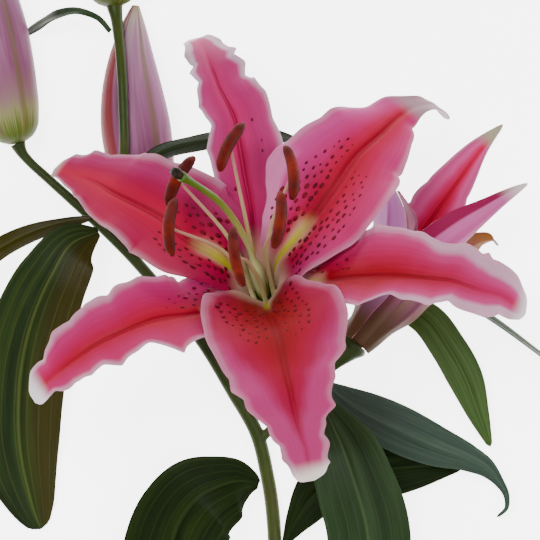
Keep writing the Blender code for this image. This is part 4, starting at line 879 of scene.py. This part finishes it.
leaves = {
    "leaf_long_left": dict(look="olive",
        rows=[(-57, 71, 15.2, 1.6, 0.3), (-66, 67, 20, 10.5, 7, 0.3), (-73, 56, 21, 13.5, 11, 0.2),
        (-79, 43, 18, 15.5, 13, 0.1), (-83, 29, 14, 16, 14.5, 0), (-85, 12, 10, 15.5, -0.05),
        (-84.5, -6, 6.5, 13.5, 14.5, -0.05), (-82, -19, 4, 10, 11, 0), (-79.5, -28, 2.6, 6.5, 0),
        (-77.5, -33, 2.4, 3, 0)]),
    "leaf_far_left": dict(face=(0.1, -0.9, 0.45), look="brown",
        rows=[(-58.9, 76.2, 16.2, 1.6, 0.2), (-67, 75, 20, 5, 0.2), (-77, 72, 23, 6.6, 0.1),
        (-91, 65, 22, 6.2, 0), (-104, 56, 16, 5.4, 0), (-114, 47, 9, 3.4, 0), (-120, 41, 5, 1, 0)]),
    "leaf_narrow_top": dict(face=(0, -0.85, 0.53), look="dark",
        rows=[(-46.5, 78, 23, 1.2, 0.1), (-44, 90, 28.5, 2.5, 0.1), (-35, 98.5, 30.5, 4.6, 0.1),
        (-23, 102, 31, 4.8, 0.1), (-8, 103.5, 31, 4.6, 0), (5, 103.5, 30.5, 4.4, 0), (12, 103, 30, 1, 0)]),
    "leaf_lower_left": dict(look="dark",
        rows=[(-1.4, -17, 7.8, 1.6, 0.3), (-4.5, -16, 10.5, 5.6, 4.2, 0.3),
        (-9, -15.6, 13.5, 11.4, 7.6, 0.25), (-15, -17.2, 16.5, 14.6, 10.8, 0.2),
        (-21.7, -20.5, 18, 17.5, 14, 0.15), (-28, -28, 16.5, 18.5, 15.5, 0.05),
        (-32, -38, 13.5, 18.5, 16, 0), (-34.5, -52, 9.5, 16, 15, -0.05), (-35.5, -68, 6, 12, -0.05),
        (-35.5, -84, 3.5, 5.5, 0), (-35, -93, 2.2, 1.2, 0)]),
    "leaf_lower_right": dict(look="dark",
        rows=[(8.2, -37.5, 5.6, 1.3, 0.2), (13, -28, 7.2, 4.5, 6, 0.15), (19, -20, 7.7, 8, 9, 0.1),
        (29, -14, 7.2, 10.5, 0.05), (43, -12, 6.5, 10, 0), (57, -11, 5, 7, 0), (70, -11.5, 3.5, 1, 0)]),
    "leaf_front_right": dict(look="fresh",
        rows=[(19.3, 14.2, 13.6, 1.6, 0.3), (23, 7, 19, 6, 0.3), (27.5, -3, 22, 11.5, 11, 0.2),
        (32, -16, 20.5, 14, 13.5, 0.1), (36, -30, 16.5, 15, 14, 0), (38, -45, 11.5, 14, -0.05),
        (39, -62, 6.5, 9.5, -0.05), (38, -77, 3.5, 4, 0), (37.5, -83, 2.4, 1.2, 0)]),
    "leaf_hooked_right": dict(face=(0, 0.25, 0.97), look="blue",
        rows=[(21.4, 18, 13.4, 1.6, 0.3), (34, 9, 13.5, 7, 0.2), (48, 2, 14, 8.5, 0.1),
        (61.5, -4, 12.5, 7.3, 7, 0.05), (72, -8.2, 10.5, 5.4, 4.4, 0), (78, -11.2, 9, 3.7, 3.3, 0),
        (82.5, -15.8, 7.5, 1.9, 0), (85.6, -21.5, 6, 1, 0), (85.6, -25.5, 5, 0.7, 0),
        (82.3, -28.8, 4, 0.5, 0)]),
    "leaf_pale_right": dict(look="pale",
        rows=[(28, 25.8, 14.4, 1.3, 0.2), (33, 34, 9.5, 2, 0.1), (40, 41.5, 6.2, 2.6, 3, 0.1),
        (48.5, 45, 6, 3.6, 5, 0.05), (57, 41.5, 9, 5.4, 6.2, 0), (65, 31, 11, 6.2, 6.4, 0),
        (71, 20, 10, 6.2, 0), (75.5, 8, 7.5, 4, 0), (80, -4, 4.5, 0.9, 0)]),
    "leaf_far_right": dict(face=(0.4, 0.85, 0.35), look="fresh",
        rows=[(22.4, 25.5, 14.2, 1.2, 0.2), (27, 34, 8, 1.3, 0), (35, 44, 4, 1.3, 0),
        (48, 51.5, 2.4, 1.4, 0), (63, 51, 4.2, 2.2, 0), (76, 43.5, 6.3, 2.7, 0), (98, 28, 7, 2.8, 0),
        (110, 19, 5.5, 2, 0), (118, 13, 4, 0.8, 0)]),
    "bract_top": dict(face=(0.1, 0.5, 0.85), look="fresh",
        rows=[(-52.6, 140.5, 20.6, 0.9, 0.1), (-56.5, 145, 22, 1.1, 0.1), (-63, 147.5, 21, 1.5, 0.1),
        (-71, 146.5, 15.5, 2.1, 0.1), (-78, 143.6, 7.5, 2.3, 0), (-83.5, 140.3, 2.2, 1.5, 0)]),
    "leaf_stem_right": dict(look="fresh",
        rows=[(9.4, -72, 6, 1.8, 0.3), (18, -76, 11, 7, 0.25), (29, -86, 13, 12, 0.15),
        (39, -100, 11.5, 14, 0.05), (46, -117, 8, 12.5, 0), (51, -134, 5, 7, 0), (54, -146, 3, 1.2, 0)]),
    "leaf_stem_left": dict(look="olive",
        rows=[(4.6, -104, 5.5, 1.8, 0.3), (-4, -107, 11, 7, 0.25), (-15, -116, 13, 12, 0.15),
        (-25, -130, 11.5, 13.5, 0.05), (-32, -146, 8, 11.5, 0), (-37, -162, 5, 6.5, 0),
        (-40, -173, 3, 1.2, 0)]),
}
leafLooks = {
    "brown": dict(dark="#221e02", mid="#2c2802", light="#343004", side=("#242203", 0.4),
        sideSpan=(0.3, 0.6), vein=("#38390f", 0.3), rib=("#3e3f14", 0.4), veins=6, rough=0.6, gloss=0.02),
    "olive": dict(dark="#0e1a06", mid="#1a2a0c", light="#26380f", side=("#2f2806", 0.8),
        sideSpan=(0.55, 0.2), vein=("#4a5020", 0.35), rib=("#4c5624", 0.5), veins=7, rough=0.4, gloss=0.12),
    "dark": dict(dark="#091203", mid="#111d06", light="#1c2a0a", side=("#101a06", 0.4),
        sideSpan=(0.5, 0.8), vein=("#2c3a18", 0.4), rib=("#2c3a18", 0.4), veins=8, rough=0.42, gloss=0.06),
    "fresh": dict(dark="#14260c", mid="#1f3216", light="#2a3f22", side=("#1a2c14", 0.3),
        sideSpan=(0.4, 0.7), vein=("#3a4f2c", 0.35), rib=("#3f5630", 0.5), veins=8, rough=0.36, gloss=0.15),
    # leaf green with a painted bluish sheen: a reflection laid into its colour
    "blue": dict(dark="#22332a", mid="#2c3e30", light="#3a4d3e", side=("#243628", 0.5),
        sideSpan=(0.5, 0.8), vein=("#46594a", 0.3), rib=("#40543f", 0.4), veins=7, rough=0.34, gloss=0.2),
    "pale": dict(dark="#2a3f16", mid="#344a1f", light="#43592c", side=("#33481e", 0.3),
        sideSpan=(0.5, 0.8), vein=("#536a38", 0.3), rib=("#4f6634", 0.5), veins=6, rough=0.4, gloss=0.14),
}
leafSkins = {key: leafSkin("leafSkin" + key.capitalize(), look, 1.9 * k)
             for k, (key, look) in enumerate(leafLooks.items())}
leafUnder = leafSkin("leafUnderside", dict(
    leafLooks["pale"], dark="#33452c", mid="#40523a", light="#4c6046", rough=0.5), 12.0)
for name, spec in leaves.items():
    form = Blade(spec["rows"], face=spec.get("face", (0, 0, 1)), ruffle=0.5, waves=1.5,
                 phase=len(name), groove=0.55)
    makeBlade(name, form, plan, [leafSkins[spec["look"]], leafUnder], across=40, along=120)
print("leaves")
